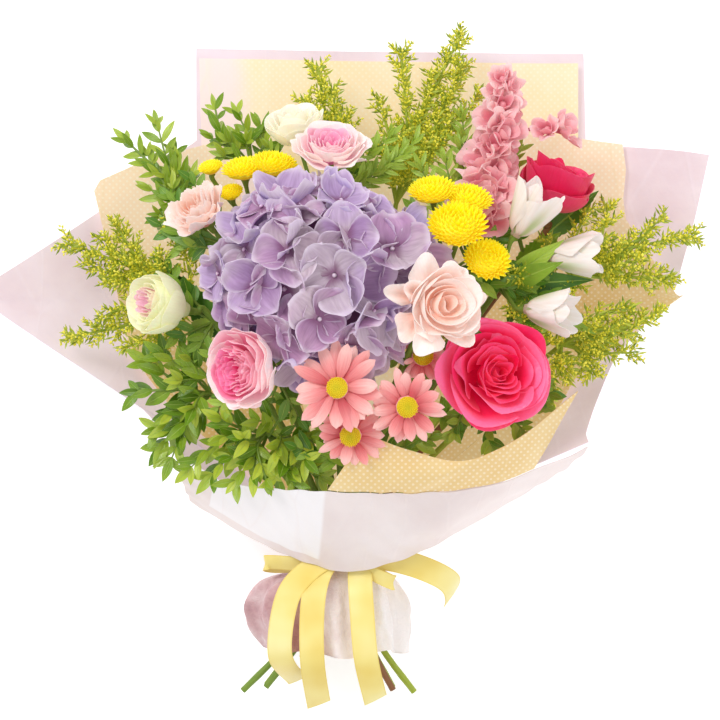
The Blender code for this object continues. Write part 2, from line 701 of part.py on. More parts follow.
def branch(a, head, r, cup, bow=0.35):
    """Side stem from a junction to the cup of a head."""
    a = np.asarray(a, float)
    b, f = head["b"], head["f"]
    end = b - f * 9
    mid = (a + end) / 2 + (end - a)[1] * np.array([0, -0.04, -bow * 0.3])
    return tube([a, mid, b - f * 6, b - f * (GAP + 0.15)], [r, r, r * 1.1, cup * 0.92], 4)


def stem_leaf(path, k, side, length, width, bend=-0.1):
    a, b = np.array(path[k]), np.array(path[k + 1])
    return blade(a, unit(b - a) * 0.6 + np.asarray(side, float), (0, 0, 1), length, width, 1.1, bend,
                 ((0.3, 0.85), (0.65, 1.0)))


STEMS = {}


def hold(name, shells):
    """Keep a stem for later, when its leaves are added, but keep the blooms clear of it."""
    STEMS[name] = shells
    v = np.concatenate([sh[0] for sh in shells])
    f, n = [], 0
    for sh in shells:
        f += [tuple(int(i) + n for i in p) for p in sh[1]]
        n += len(sh[0])
    register(name, v, f)


for name, head in SINGLES.items():
    path, radii = neck(stem_path(name), HEADS[head])
    hold(name, [tube(path, radii)])
for name, (junction, heads) in SPRAYS.items():
    path = stem_path(name)
    shells = [tube(path, [STEM_R] * (len(path) - 1) + [STEM_R * 0.9])]
    for h in heads:
        r = HEADS[h]["r"]
        shells.append(branch(junction, HEADS[h], 1.3 if r < 20 else 1.6, 2.4 if r < 10 else 3.6))
    hold(name, shells)
rise = unit(spline(SPIRE, 0.01) - spline(SPIRE, 0.0))
path = stem_path("snapdragon_stem") + [np.array(SPIRE[0]) - rise * 6, np.array(SPIRE[0]) - rise * 1.1 * GAP]
hold("snapdragon_stem", [tube(path, [STEM_R] * (len(path) - 1) + [2.6])])
HY = HYDRANGEA
HYC = np.array(HY["centre"], float)
path = stem_path("hydrangea_stem") + [np.array([-28, 50, 79.0]), np.array([-28, 51.5, 82.6])]
hold("hydrangea_stem", [tube(path, [2.3] * (len(path) - 1) + [4.2])])


# Blooms

def bloom(head, rows, core, seed, **more):
    """Cupped bloom: rows of petals (count, reach, height, opening, width, curl) round a small core."""
    rng = random.Random(seed)
    b, f, r, h = head["b"], head["f"], head["r"], head["h"]
    axes = frame(f, rng.random() * 6.28)
    base = min(4.2, r * 0.3)
    shells = [lathe([(0, 0), (base, 0.0), (core[0] * r, core[1] * h * 0.5), (core[0] * r * 0.7, core[1] * h),
                     (0, core[1] * h * 1.15)], 7, b, axes)]
    for q, (n, reach_, height, opening, width, curl) in enumerate(rows):
        turn = rng.random() * 6.28
        out = q / max(1, len(rows) - 1)
        foot_r, foot_h = core[0] * r * (0.42 + 0.16 * out), core[1] * h * (0.8 - 0.42 * out)
        for k in range(n):
            a = turn + 2 * math.pi * (k + 0.12 * (rng.random() - 0.5)) / n
            size = 1 + 0.05 * (rng.random() - 0.5)
            mid = cup_petal(a, width, r * reach_ * size, h * height * size, opening, foot_r, foot_h, curl=curl,
                            **more)
            shell = grid_shell(place(mid, b, axes), PETAL_T)
            if fits(shell):
                shells.append(shell)
    return shells


fuse("rose_low_bloom", bloom(HEADS["rose_low"], [
    (3, 0.30, 1.0, 88, 140, 0.0), (4, 0.64, 0.92, 80, 108, 0.04), (5, 1.0, 0.70, 70, 88, 0.10)],
    (0.30, 0.5), 3, nu=4, nv=3), CRIMSON, 0.5)
fuse("rose_top_bloom", bloom(HEADS["rose_top"], [
    (3, 0.40, 1.0, 88, 140, 0.0), (5, 1.0, 0.82, 76, 88, 0.08)], (0.32, 0.5), 8, nu=4, nv=3), CRIMSON, 0.5)
fuse("garden_rose_low_bloom", bloom(HEADS["garden_rose_low"], [
    (4, 0.5, 0.98, 86, 100, 0.0), (6, 1.0, 0.84, 82, 72, 0.03)], (0.36, 0.5), 12, nu=4, nv=3), ROSE, 0.5)
fuse("garden_rose_left_bloom", bloom(HEADS["garden_rose_left"], [
    (3, 0.45, 1.0, 100, 130, 0.0), (5, 0.98, 0.9, 104, 84, 0.0)], (0.42, 0.5), 17, nu=4, nv=3), IVORY, 0.5)
fuse("garden_rose_top_front_bloom", bloom(HEADS["garden_rose_top_front"], [
    (4, 0.5, 0.98, 86, 100, 0.0), (6, 1.0, 0.74, 74, 72, 0.05)], (0.36, 0.5), 21, nu=4, nv=3), ROSE, 0.5)
fuse("garden_rose_top_back_bloom", bloom(HEADS["garden_rose_top_back"], [
    (3, 0.5, 1.0, 92, 120, 0.0), (5, 1.0, 0.85, 90, 84, 0.03)], (0.4, 0.5), 25, nu=3, nv=3), IVORY, 0.5)
fuse("carnation_right_bloom", bloom(HEADS["carnation_right"], [
    (4, 0.5, 1.0, 60, 76, 0.0), (8, 1.0, 0.72, 52, 42, 0.0)], (0.28, 0.5), 31,
    nu=5, nv=2, frill=0.09, ruffle=0.07, waves=1.5, slant=0.04), PEACH, 0.5)
fuse("carnation_left_bloom", bloom(HEADS["carnation_left"], [
    (3, 0.5, 1.0, 60, 88, 0.0), (6, 1.0, 0.75, 52, 54, 0.0)], (0.30, 0.5), 36,
    nu=5, nv=2, frill=0.09, ruffle=0.07, waves=1.5, slant=0.04), PEACH, 0.5)


def daisy(head, seed, petals=14):
    rng = random.Random(seed)
    b, f, r = head["b"], head["f"], head["r"]
    axes = frame(f, rng.random())
    shells = [lathe([(0, 0), (3.6, 0.0), (7.2, 3.6), (6.6, 5.6), (0, 5.8)], 8, b, axes)]
    for k in range(petals):
        a = 2 * math.pi * (k + 0.25 * rng.random()) / petals
        lift = 3.1 if k % 2 else 4.6
        out = axes @ np.array([math.cos(a), math.sin(a), 0.10 + 0.12 * rng.random()])
        start = place([(4.5 * math.cos(a), 4.5 * math.sin(a), lift)], b, axes)[0]
        shell = blade(start, out, f, (r - 4.5) * (1 - 0.1 * rng.random()), 10.5, 1.1, -0.05,
                      ((0.35, 0.8), (0.8, 0.95)), 0.06)
        if fits(shell):
            shells.append(shell)
    eye = lathe([(0, 6.1), (6.8, 6.1), (6.2, 9.0), (0, 10.8)], 9, b, axes)
    return shells, [eye]


for k, name in enumerate(["daisy_1", "daisy_2", "daisy_3"]):
    petals, eye = daisy(HEADS[name], 40 + k)
    fuse(name + "_petals", petals, CORAL, 0.5)
    fuse(name + "_eye", eye, EYE)


def pompon(head, seed, rows):
    rng = random.Random(seed)
    b, f, r, h = head["b"], head["f"], head["r"], head["h"]
    axes = frame(f, rng.random())
    shells = [lathe([(0, 0), (min(3.4, r * 0.35), 0), (0.70 * r, h * 0.34), (0.62 * r, h * 0.66), (0, h * 0.86)],
                    8, b, axes)]
    for n, out, up, lean in rows:
        for k in range(n):
            a = 2 * math.pi * (k + 0.5 * rng.random()) / n
            d = np.array([math.cos(a) * lean, math.sin(a) * lean, 1 - lean * 0.8])
            start = place([(out * r * math.cos(a), out * r * math.sin(a), up * h)], b, axes)[0]
            shell = bud(start, axes @ unit(d), r * 0.42, r * 0.16)
            if fits(shell):
                shells.append(shell)
    return shells


FULL = [(8, 0.60, 0.42, 0.95), (5, 0.42, 0.68, 0.6)]
TINY = [(6, 0.52, 0.5, 0.9)]
for k, name in enumerate(["pompon_left_1", "pompon_left_2", "pompon_left_3", "pompon_right_1", "pompon_right_2",
                          "pompon_right_3"]):
    shells = pompon(HEADS[name], 60 + k, TINY if HEADS[name]["r"] < 10 else FULL)
    if name + "b" in HEADS:
        shells += pompon(HEADS[name + "b"], 70 + k, FULL)
    fuse(name + "_bloom", shells, YELLOW, 0.5)


def lily(head, seed):
    rng = random.Random(seed)
    b, f, r, h = head["b"], head["f"], head["r"], head["h"]
    axes = frame(f, rng.random() * 6.28)
    shells = [lathe([(0, 0), (3.2, 0), (4.4, h * 0.16), (3.0, h * 0.34), (0, h * 0.4)], 6, b, axes)]
    for k in range(6):
        a = math.pi * k / 3
        wide = 62 if k % 2 else 44
        mid = cup_petal(a, wide, r * (1.0 if k % 2 else 0.82), h * (0.94 if k % 2 else 1.0), 62, curl=0.0,
                        base_h=2.0, round_=0.42, slant=0.0, nu=3, nv=3)
        shell = grid_shell(place(mid, b, axes), PETAL_T)
        if fits(shell):
            shells.append(shell)
    return shells


for k in (1, 2, 3):
    fuse(f"alstroemeria_{k}_bloom", lily(HEADS[f"alstroemeria_{k}"], 80 + k), WHITE, 0.5)


def spire():
    rng = random.Random(90)
    shells = [tube([spline(SPIRE, t) for t in (0, 0.35, 0.7, 0.97)], [3.0, 3.2, 2.6, 1.6], 6)]
    for k in range(16):
        t = 0.04 + 0.93 * k / 15
        p = spline(SPIRE, t)
        ahead = unit(spline(SPIRE, min(1, t + 0.02)) - spline(SPIRE, t - 0.02))
        a = k * 2.4
        out = frame(ahead) @ np.array([math.cos(a), math.sin(a), 0.3])
        size = 25.0 - 13.0 * t
        shells.append(lathe([(0, 0), (size * 0.16, size * 0.3), (size * 0.42, size * 0.78), (0, size)], 5, p, frame(out, k)))
    side = spline(SPIRE, 0.62)
    tip = np.array([128.0, 150.0, 72.0])
    shells.append(tube([side, (side + tip) / 2 + np.array([0, 3, 0]), tip], [1.2, 1.2, 1.4], 5))
    for k in range(5):
        a = 2 * math.pi * k / 5
        axes = frame(unit([1, 0.4, 0.4]))
        out = axes @ np.array([math.cos(a), math.sin(a), 0.55])
        shells.append(blade(tip, out, axes[:, 2], 12, 9, 1.6, 0.0, ((0.6, 1.0),)))
    return [shells[0]] + kept(shells[1:], 0.35)


fuse("snapdragon_bloom", spire(), SNAP, 0.5)


# Hydrangea: broad four-petalled florets over a smaller core

def floret(centre, facing, roll, r, t=0.9):
    """Four broad petals in one closed body, each cupped a little."""
    axes = frame(facing, roll)
    top, low = [], []
    for k in range(4):
        a = math.pi / 2 * k
        for da, rr, up in ((-0.62, 0.42, 0.02), (-0.42, 0.86, 0.14), (0.0, 1.0, 0.05), (0.42, 0.86, 0.14)):
            x, y = r * rr * math.cos(a + da), r * rr * math.sin(a + da)
            lift = r * up * (1 if k % 2 else 1.35)
            top.append((x, y, lift + t / 2))
            low.append((x, y, lift - t / 2))
    v = [(0, 0, 0.9 + t / 2)] + top + [(0, 0, -t / 2 - 0.6)] + low
    n = len(top)
    f = []
    for i in range(n):
        j = (i + 1) % n
        f += [(0, 1 + i, 1 + j), (1 + n, 2 + n + j, 2 + n + i), (1 + i, 2 + n + i, 2 + n + j, 1 + j)]
    return place(v, centre, axes), f


def hydrangea():
    rng = random.Random(7)
    size = np.array(HY["size"], float)
    n = HY["florets"]
    axes = frame((0, 0, 1))
    core = [(0, -0.62), (0.10, -0.62), (0.44, -0.42), (0.62, 0.0), (0.50, 0.36), (0.26, 0.56), (0, 0.62)]
    v, f = lathe([(r, h) for r, h in core], 12, (0, 0, 0), axes)
    shells = [(v * size + HYC, f)]
    for k in range(n):
        h = 1 - 1.62 * (k + 0.5) / n
        a = 2.39996 * k
        ring_r = math.sqrt(max(0.0, 1 - h * h))
        d = np.array([ring_r * math.cos(a), ring_r * math.sin(a), h])
        spot = HYC + d * size * (0.93 + 0.06 * (k % 3) / 2)
        facing = unit(d / size)
        roll = rng.random() * 1.5
        for scale in (1.0, 0.86, 0.72):
            leaf = floret(spot, facing, roll, HY["petal"] * scale)
            if fits(leaf):
                inner = HYC + d * size * 0.52
                stalk = tube([inner, spot + facing * 0.1], [2.0, 1.3], 3)
                if fits(stalk, 0.3):
                    shells += [leaf, stalk]
                break
            spot = spot - facing * 3.0
    return shells


fuse("hydrangea_bloom", hydrangea(), LILAC, 0.36)


# Leaves on the flower stems: place along the stem, tip and width
STEM_LEAVES = {
    "rose_low_stem": [(0.95, (126, -30, 98), 22), (0.80, (66, -46, 110), 18), (0.97, (112, 26, 92), 20)],
    "rose_top_stem": [(0.97, (158, 112, 66), 17), (0.85, (132, 84, 72), 18), (0.80, (84, 112, 66), 16)],
    "garden_rose_low_stem": [(0.97, (-96, -24, 112), 17), (0.85, (-42, -30, 118), 17)],
    "garden_rose_left_stem": [(0.97, (-112, 8, 92), 17), (0.85, (-128, 62, 78), 18)],
    "carnation_right_stem": [(0.97, (78, 16, 132), 13)],
    "carnation_left_stem": [(0.97, (-132, 84, 88), 14)],
    "hydrangea_stem": [(0.9, (20, 26, 88), 30), (0.9, (-76, 28, 88), 30)],
    "alstroemeria_stem": [(0.97, (142, 84, 108), 15), (0.99, (150, 56, 92), 14), (0.97, (140, 18, 104), 19),
                          (0.9, (124, 4, 104), 20)],
    "pompon_right_stem": [(0.97, (34, 84, 108), 16), (0.97, (92, 52, 104), 16)],
    "pompon_left_stem": [(0.97, (-92, 96, 72), 14)],
    "daisy_stem": [(0.95, (26, -66, 122), 13), (0.95, (-26, -58, 124), 13)],
    "snapdragon_stem": [(0.95, (62, 118, 76), 13), (0.95, (104, 118, 78), 13)],
    "garden_rose_top_stem": [(0.97, (4, 128, 76), 16), (0.97, (-60, 120, 66), 15)],
}
for name, shells in STEMS.items():
    path = stem_path(name)
    start, end = path[3], path[-1]
    for t, tip, width in STEM_LEAVES.get(name, []):
        p = spline(path[3:], t)
        tip = np.array(tip, float)
        way = tip - p
        length = float(np.linalg.norm(way))
        for scale in (1.0, 0.85, 0.7):
            leaf = blade(p, way, (0, 0, 1), length * scale, width * scale, 1.3, -0.05, ((0.4, 0.9), (0.75, 0.8)))
            if fits(leaf, 0.4, name):
                shells.append(leaf)
                break
    fuse(name, shells, STEM, 1.0 if len(shells) == 1 else 0.7)


# Leaves and fronds grow only where they stay clear of the pieces before them

def frond_axis(start, tip, back, rng):
    start, tip = np.asarray(start, float), np.asarray(tip, float)
    tip = tip - unit(tip - start) * back
    mid = (start + tip) / 2 + np.array([rng.uniform(-6, 6), rng.uniform(-6, 6), rng.uniform(0, 5)])
    return [start, mid, tip]


def greens(name, seed, leaf=(21, 11), spacing=13.0):
    rng = random.Random(seed)
    junction, tips = FRONDS[name]
    path = stem_path(name)
    shells = [tube(path, [STEM_R] * 5 + [1.8, 1.6])]
    for tip in tips:
        axis = frond_axis(junction, tip, 14, rng)
        length = np.linalg.norm(axis[2] - axis[0])
        limb = tube([spline(axis, t) for t in (0, 0.5, 1.0)], [1.5, 1.1, 0.7], 3)
        shells.append(limb)
        n = max(3, int(length / spacing))
        for k in range(n):
            t = (k + 1) / n
            p = spline(axis, t)
            ahead = unit(spline(axis, min(1.0, t + 0.05)) - spline(axis, max(0.0, t - 0.05)))
            side = unit(np.cross(ahead, (0, 0, 1)))
            for s in ((-1, 1) if k < n - 1 else (-1, 0, 1)):
                lean = 0.75 if s else 0.0
                way = ahead * 0.7 + side * s * lean + np.array([0, 0, 0.35 * rng.uniform(-0.5, 1)])
                up = np.array([0, 0, 1.0]) + side * s * -0.25 + ahead * rng.uniform(-0.3, 0.3)
                size = rng.uniform(0.85, 1.12) * (1.0 if t < 0.8 else 0.9)
                shell = blade(p, way, up, leaf[0] * size, leaf[1] * size, 1.4, -0.06, ((0.45, 1.0),))
                if fits(shell):
                    shells.append(shell)
    return shells


def goldenrod(name, seed):
    rng = random.Random(seed)
    junction, tips = FRONDS[name]
    path = stem_path(name)
    shells = [tube(path, [STEM_R] * 5 + [1.8, 1.6])]
    for tip in tips:
        axis = frond_axis(junction, tip, 9, rng)
        length = np.linalg.norm(axis[2] - axis[0])
        shells.append(tube([spline(axis, t) for t in (0, 0.5, 1.0)], [1.5, 1.1, 0.7], 3))
        n = max(3, int(length / 12.0))
        for k in range(n):
            t = 0.1 + 0.9 * (k + 1) / n
            p = spline(axis, t)
            ahead = unit(spline(axis, min(1.0, t + 0.05)) - spline(axis, max(0.0, t - 0.05)))
            axes = frame(ahead)
            for s in range(2):
                a = k * 2.4 + s * math.pi + rng.uniform(-0.4, 0.4)
                way = ahead * 0.8 + axes @ np.array([math.cos(a), math.sin(a), 0]) * 0.8
                shell = bud(p, way, rng.uniform(19, 25) * (1.15 - 0.5 * t), 3.2)
                if fits(shell):
                    shells.append(shell)
    return shells


for k, name in enumerate(FRONDS):
    if name.startswith("greens"):
        fuse(name, greens(name, 200 + k), LEAF, 0.52)
    else:
        fuse(name, goldenrod(name, 200 + k), GOLDENROD, 0.5)

bpy.data.collections.remove(CUTTERS)
print("pieces", len(NODES), "triangles", sum(NODES.values()))
for name, count in NODES.items():
    print("  ", name, count)
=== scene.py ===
# %% [markdown]
# # A mixed bouquet in gathered papers
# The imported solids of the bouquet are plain: few petals, few leaves, flat papers. They say where each piece
# is. This lesson loads them as a fixed frame, then grows a finer piece over each one: petals with rolled rims
# and veins, glossy leaves, plumes of tiny buds, papers with creases, satin ribbon. Nothing is moved, only
# replaced in place.

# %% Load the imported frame
import math
import random

import bpy
import numpy as np
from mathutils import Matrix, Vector
from mathutils.bvhtree import BVHTree


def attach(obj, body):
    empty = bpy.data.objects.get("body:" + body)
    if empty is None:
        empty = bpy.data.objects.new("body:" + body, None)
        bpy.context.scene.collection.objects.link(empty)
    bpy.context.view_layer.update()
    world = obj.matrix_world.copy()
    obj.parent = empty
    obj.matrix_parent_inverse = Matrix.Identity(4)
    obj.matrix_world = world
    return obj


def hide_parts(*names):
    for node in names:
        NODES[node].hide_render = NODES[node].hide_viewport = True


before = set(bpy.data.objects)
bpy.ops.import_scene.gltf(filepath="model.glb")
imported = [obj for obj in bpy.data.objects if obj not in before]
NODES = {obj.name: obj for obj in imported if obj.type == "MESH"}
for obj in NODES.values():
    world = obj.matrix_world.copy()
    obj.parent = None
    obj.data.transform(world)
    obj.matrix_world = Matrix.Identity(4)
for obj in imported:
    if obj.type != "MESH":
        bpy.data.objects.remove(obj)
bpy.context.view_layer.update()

print("nodes in the frame:", len(NODES))

# %% [markdown]
# ## The view
# The bouquet lies on its back on a pale table, and the camera looks straight down on it, as the picture shows
# it. A long lens keeps the papers from looking stretched at their corners. Two large soft lamps and a bright
# sky give the clean, nearly shadowless light of a shop picture, with a little more light from the upper left.

# %% Camera and lamps
CAMERA_HEIGHT = 1.390
LENS = 100.0
SENSOR_WIDTH = 36.0
SKY_STRENGTH = 0.68
scene = bpy.context.scene


def add_object(name, data):
    """New object in the scene that shows a camera, a lamp or a mesh."""
    made = bpy.data.objects.new(name, data)
    scene.collection.objects.link(made)
    return made


def soft_lamp(name, place, size, power):
    """Square lamp that faces the middle of the bouquet."""
    lamp = add_object(name, bpy.data.lights.new(name, "AREA"))
    lamp.data.size = size
    lamp.data.energy = power
    lamp.location = place
    lamp.rotation_euler = (-lamp.location).to_track_quat("-Z", "Y").to_euler()


camera = add_object("camera", bpy.data.cameras.new("camera"))
camera.location = (0.0, 0.0, CAMERA_HEIGHT)
camera.data.lens = LENS
camera.data.sensor_width = SENSOR_WIDTH
scene.camera = camera
scene.view_settings.view_transform = "Standard"
soft_lamp("key_lamp", (-1.0, 1.1, 1.7), 0.9, 22.5)
soft_lamp("fill_lamp", (1.3, -0.5, 1.5), 1.4, 9.5)
world = bpy.data.worlds.new("bright_studio")
world.use_nodes = True
world.node_tree.nodes["Background"].inputs["Color"].default_value = (1.0, 1.0, 1.0, 1.0)
world.node_tree.nodes["Background"].inputs["Strength"].default_value = SKY_STRENGTH
scene.world = world
print("camera height in metres:", CAMERA_HEIGHT)

# %% [markdown]
# ## A small language for finishes
# A material is a tree of nodes, and its sums are easier to read as sums. Each output socket is wrapped in a
# small class whose plus, minus and times add the Math nodes, and one method adds any other node. Colours are
# blended with Mix nodes, because a Math node would turn them grey. Colours are given as web codes.

# %% Wires and finishes
class Wire:
    """One output socket; sums and products of wires add Math nodes."""

    def __init__(self, finish, socket):
        self.finish = finish
        self.socket = socket

    def math(self, operation, a, b=0.0):
        return self.finish.add("Math", {"operation": operation}, {0: a, 1: b})

    def __add__(self, other):
        return self.math("ADD", self, other)

    def __radd__(self, other):
        return self.math("ADD", other, self)

    def __sub__(self, other):
        return self.math("SUBTRACT", self, other)

    def __rsub__(self, other):
        return self.math("SUBTRACT", other, self)

    def __mul__(self, other):
        return self.math("MULTIPLY", self, other)

    def __rmul__(self, other):
        return self.math("MULTIPLY", other, self)

    def __pow__(self, other):
        return self.math("POWER", self, other)

    def sine(self):
        return self.math("SINE", self)

    def fraction(self):
        return self.math("FRACT", self)

    def size(self):
        return self.math("ABSOLUTE", self)


class Finish:
    """A material in the making: one Principled shader and the nodes that feed it.

    soft is the share and the reach of the light that scatters under the skin of a petal, leaf or paper.
    """

    def __init__(self, name, soft=None, **fixed):
        self.material = bpy.data.materials.new(name)
        self.material.use_nodes = True
        self.tree = self.material.node_tree
        self.shader = self.tree.nodes["Principled BSDF"]
        if soft:
            fixed.update(Subsurface_Weight=soft[0], Subsurface_Radius=soft[1], Subsurface_Scale=1.0)
        for socket, value in fixed.items():
            self.shader.inputs[socket.replace("_", " ")].default_value = value

    def feed(self, socket, value):
        if isinstance(value, Wire):
            self.tree.links.new(value.socket, socket)
        else:
            socket.default_value = value

    def add(self, kind, settings=None, sockets=None, out=0):
        node = self.tree.nodes.new("ShaderNode" + kind)
        for key, value in (settings or {}).items():
            if key == "stops":
                ramp = node.color_ramp
                while len(ramp.elements) < len(value):
                    ramp.elements.new(0.5)
                for stop, (spot, colour) in zip(ramp.elements, value):
                    stop.position = spot
                    stop.color = colour
            else:
                setattr(node, key, value)
        for key, value in (sockets or {}).items():
            self.feed(node.inputs[key], value)
        return Wire(self, node.outputs[out])

    def mark(self, name):
        """A value kept on the points of the mesh, such as how far along its petal a point lies."""
        return self.add("Attribute", {"attribute_name": name}, out="Fac")

    def cloud(self, scale, detail=3.0, spot=None):
        sockets = {"Scale": scale, "Detail": detail}
        sockets["Vector"] = spot if spot is not None else self.add("TexCoord", out="Object")
        return self.add("TexNoise", {}, sockets)

    def spot(self, x, y, z):
        return self.add("CombineXYZ", {}, {0: x, 1: y, 2: z})

    def ease(self, x, low, high):
        """0 below low, 1 above high, and a smooth rise between."""
        return self.add("MapRange", {"interpolation_type": "SMOOTHSTEP"}, {0: x, 1: low, 2: high})

    def ramp(self, x, *stops):
        return self.add("ValToRGB", {"stops": [(s, tint(c)) for s, c in stops]}, {0: x})

    def blend(self, share, a, b, way="MIX"):
        a, b = (tint(c) if isinstance(c, str) else c for c in (a, b))
        return self.add("Mix", {"data_type": "RGBA", "blend_type": way}, {0: share, 6: a, 7: b}, out=2)

    def done(self, colour, height=None, depth=0.0002, rough=None, glow=0.0, dim=1.0):
        """Link the results; glow is painted light: the colour is also given off as emission, which lifts shade
        as if light came through a thin petal or paper, and dim darkens the base colour to make up for it.
        """
        shade = self.blend(1.0, colour, (dim, dim, dim, 1.0), "MULTIPLY") if dim < 1.0 else colour
        self.feed(self.shader.inputs["Base Color"], shade)
        if glow:
            self.feed(self.shader.inputs["Emission Color"], colour)
            self.shader.inputs["Emission Strength"].default_value = glow
        if rough is not None:
            self.feed(self.shader.inputs["Roughness"], rough)
        if height is not None:
            bump = self.add("Bump", {}, {"Strength": 0.8, "Distance": depth, "Height": height})
            self.feed(self.shader.inputs["Normal"], bump)
        return self.material


def tint(code):
    """A web colour code in the linear values that shaders use."""
    parts = [int(code[i:i + 2], 16) / 255 for i in (1, 3, 5)]
    return tuple(((c + 0.055) / 1.055) ** 2.4 if c > 0.04045 else c / 12.92 for c in parts) + (1.0,)


print("mid grey in linear values:", round(tint("#808080")[0], 3))

# %% [markdown]
# ## The table
# The table is only a pale stage, so it gets the faintest grain: enough to catch a soft shadow, not enough to
# notice.

# %% Table
def table_finish():
    made = Finish("table_white", Roughness=0.9)
    grain = made.cloud(60.0)
    return made.done(made.blend(grain, "#fbfbfb", "#ffffff"), grain, 0.0001, glow=0.3)


TABLE_SIDE = 6.0
corners = [(-1, -1), (1, -1), (1, 1), (-1, 1)]
table = add_object("table", bpy.data.meshes.new("table"))
ends = [(x * TABLE_SIDE / 2, y * TABLE_SIDE / 2, 0.0) for x, y in corners]
table.data.from_pydata(ends, [], [(0, 1, 2, 3)])
table.data.materials.append(table_finish())
print("table side in metres:", TABLE_SIDE)

# %% [markdown]
# ## Directions and grids
# Petals, leaves and stems are all placed by a few vectors: where they start, the way they face and how they
# roll. They could be objects turned one by one, but there are thousands of them, so small functions turn
# their points instead. Lengths here are in millimetres until the piece is made.

# %% Vectors and grids
MM = 0.001
GOLDEN_ANGLE = 2.39996
ANY_TURN = 6.28


def unit(v):
    v = np.asarray(v, float)
    return v / max(np.linalg.norm(v), 1e-9)


def spoke(angle, rise=0.0):
    """A step of one millimetre outward at an angle, with a rise of its own."""
    return np.array([math.cos(angle), math.sin(angle), rise])


def turned(facing, roll=0.0):
    """Columns: two side directions, then the facing direction."""
    z = unit(facing)
    hint = np.array([0.0, 1.0, 0.0]) if abs(z[1]) < 0.9 else np.array([1.0, 0.0, 0.0])
    x = unit(np.cross(hint, z))
    y = np.cross(z, x)
    c, s = math.cos(roll), math.sin(roll)
    return np.stack([c * x + s * y, c * y - s * x, z], axis=1)


def placed(local, base, axes):
    return np.asarray(local, float) @ axes.T + np.asarray(base, float)


def spline(points, t):
    """Smooth curve through control points, t from 0 to 1."""
    p = np.asarray(points, float)
    n = len(p) - 1
    x = min(max(t, 0.0), 1.0) * n
    i = min(int(x), n - 1)
    f = x - i
    a, b = p[max(i - 1, 0)], p[i]
    c, d = p[i + 1], p[min(i + 2, n)]
    return 0.5 * (2 * b + (c - a) * f + (2 * a - 5 * b + 4 * c - d) * f * f
                  + (3 * b - a - 3 * c + d) * f ** 3)


def grid(across, along):
    """Two values over a grid: -1 to 1 across it, and 0 to 1 along it."""
    return np.linspace(-1, 1, across)[:, None], np.linspace(0, 1, along)[None, :]


def normals(mid):
    """The way that each point of a grid faces."""
    out = np.cross(np.gradient(mid, axis=0), np.gradient(mid, axis=1))
    return out / np.maximum(np.linalg.norm(out, axis=2, keepdims=True), 1e-9)


def band_of(at):
    """Faces between neighbouring rings of points, and the same rings turned on by one point."""
    nxt = np.roll(at, -1, axis=1)
    return np.stack([at[:-1], nxt[:-1], nxt[1:], at[1:]], axis=-1).reshape(-1, 4), nxt


print("golden angle in degrees:", round(math.degrees(GOLDEN_ANGLE), 1))

# %% [markdown]
# ## Shells and marks
# A petal, a leaf or a paper is a thin skin: a grid of middle points, thickened to both sides, thinner at its
# rim. Each point carries marks: how far along the petal it is, how far across, whether it is on the back,
# which ring of the bloom it belongs to, and a tone for its petal, mostly random; on the leaves of twigs and in
# the hydrangea's core the tone also carries painted shade. The finishes read these marks, so the colours
# follow each petal from foot to rim without any picture.

# %% Skins, tubes and turned solids
SHEET_THICK = 0.5
FACES = {}


def skin_faces(m, n):
    """Faces of a closed skin of m x n points a side, worked out once for each size."""
    if (m, n) not in FACES:
        at = np.arange(m * n).reshape(m, n)
        top = np.stack([at[:-1, :-1], at[1:, :-1], at[1:, 1:], at[:-1, 1:]], axis=-1).reshape(-1, 4)
        rim = np.concatenate([at[:, 0], at[-1, 1:], at[-2::-1, -1], at[0, -2:0:-1]])
        nxt = np.roll(rim, -1)
        wall = np.stack([nxt, rim, rim + m * n, nxt + m * n], axis=1)
        FACES[m, n] = np.concatenate([top, top[:, ::-1] + m * n, wall]).tolist()
    return FACES[m, n]


def skin(mid, thick=SHEET_THICK, rim=0.4, back_first=True):
    """Closed thin skin round a grid of middle points, thinner at its rim."""
    m, n = mid.shape[:2]
    out = normals(mid)
    u, v = grid(m, n)
    full = np.minimum(1, 5 * (1 - np.abs(u))) * np.minimum(1, 6 * (1 - v))
    half = (thick / 2 * (rim + (1 - rim) * full))[..., None]
    points = np.concatenate([(mid + out * half).reshape(-1, 3), (mid - out * half).reshape(-1, 3)])
    along = np.tile(np.broadcast_to(v, (m, n)).ravel(), 2)
    across = np.tile(np.broadcast_to(u, (m, n)).ravel(), 2)
    back = np.repeat([1.0, 0.0] if back_first else [0.0, 1.0], m * n)
    return points, skin_faces(m, n), np.stack([along, across, back], axis=1)


def tube(path, radii, sides=10):
    """Closed round stem along a path, with a radius at each point."""
    p = np.asarray(path, float)
    n = len(p)
    radii = np.full(n, radii, float) if np.isscalar(radii) else np.asarray(radii, float)
    tan = np.gradient(p, axis=0)
    tan /= np.linalg.norm(tan, axis=1, keepdims=True)
    side = unit(np.cross(tan[0], [0.31, 0.2, 0.93]))
    turn = np.linspace(0, 2 * math.pi, sides, endpoint=False)
    rings = []
    for i in range(n):
        side = unit(side - tan[i] * np.dot(side, tan[i]))
        up = np.cross(tan[i], side)
        rings.append(p[i] + radii[i] * (np.cos(turn)[:, None] * side + np.sin(turn)[:, None] * up))
    walls = band_of(np.arange(n * sides).reshape(n, sides))[0].tolist()
    walls += [list(range(sides - 1, -1, -1)), list(range((n - 1) * sides, n * sides))]
    along = np.repeat(np.linspace(0, 1, n), sides)
    across = np.tile(turn / math.pi - 1, n)
    return np.concatenate(rings), walls, np.stack([along, across, along * 0], axis=1)


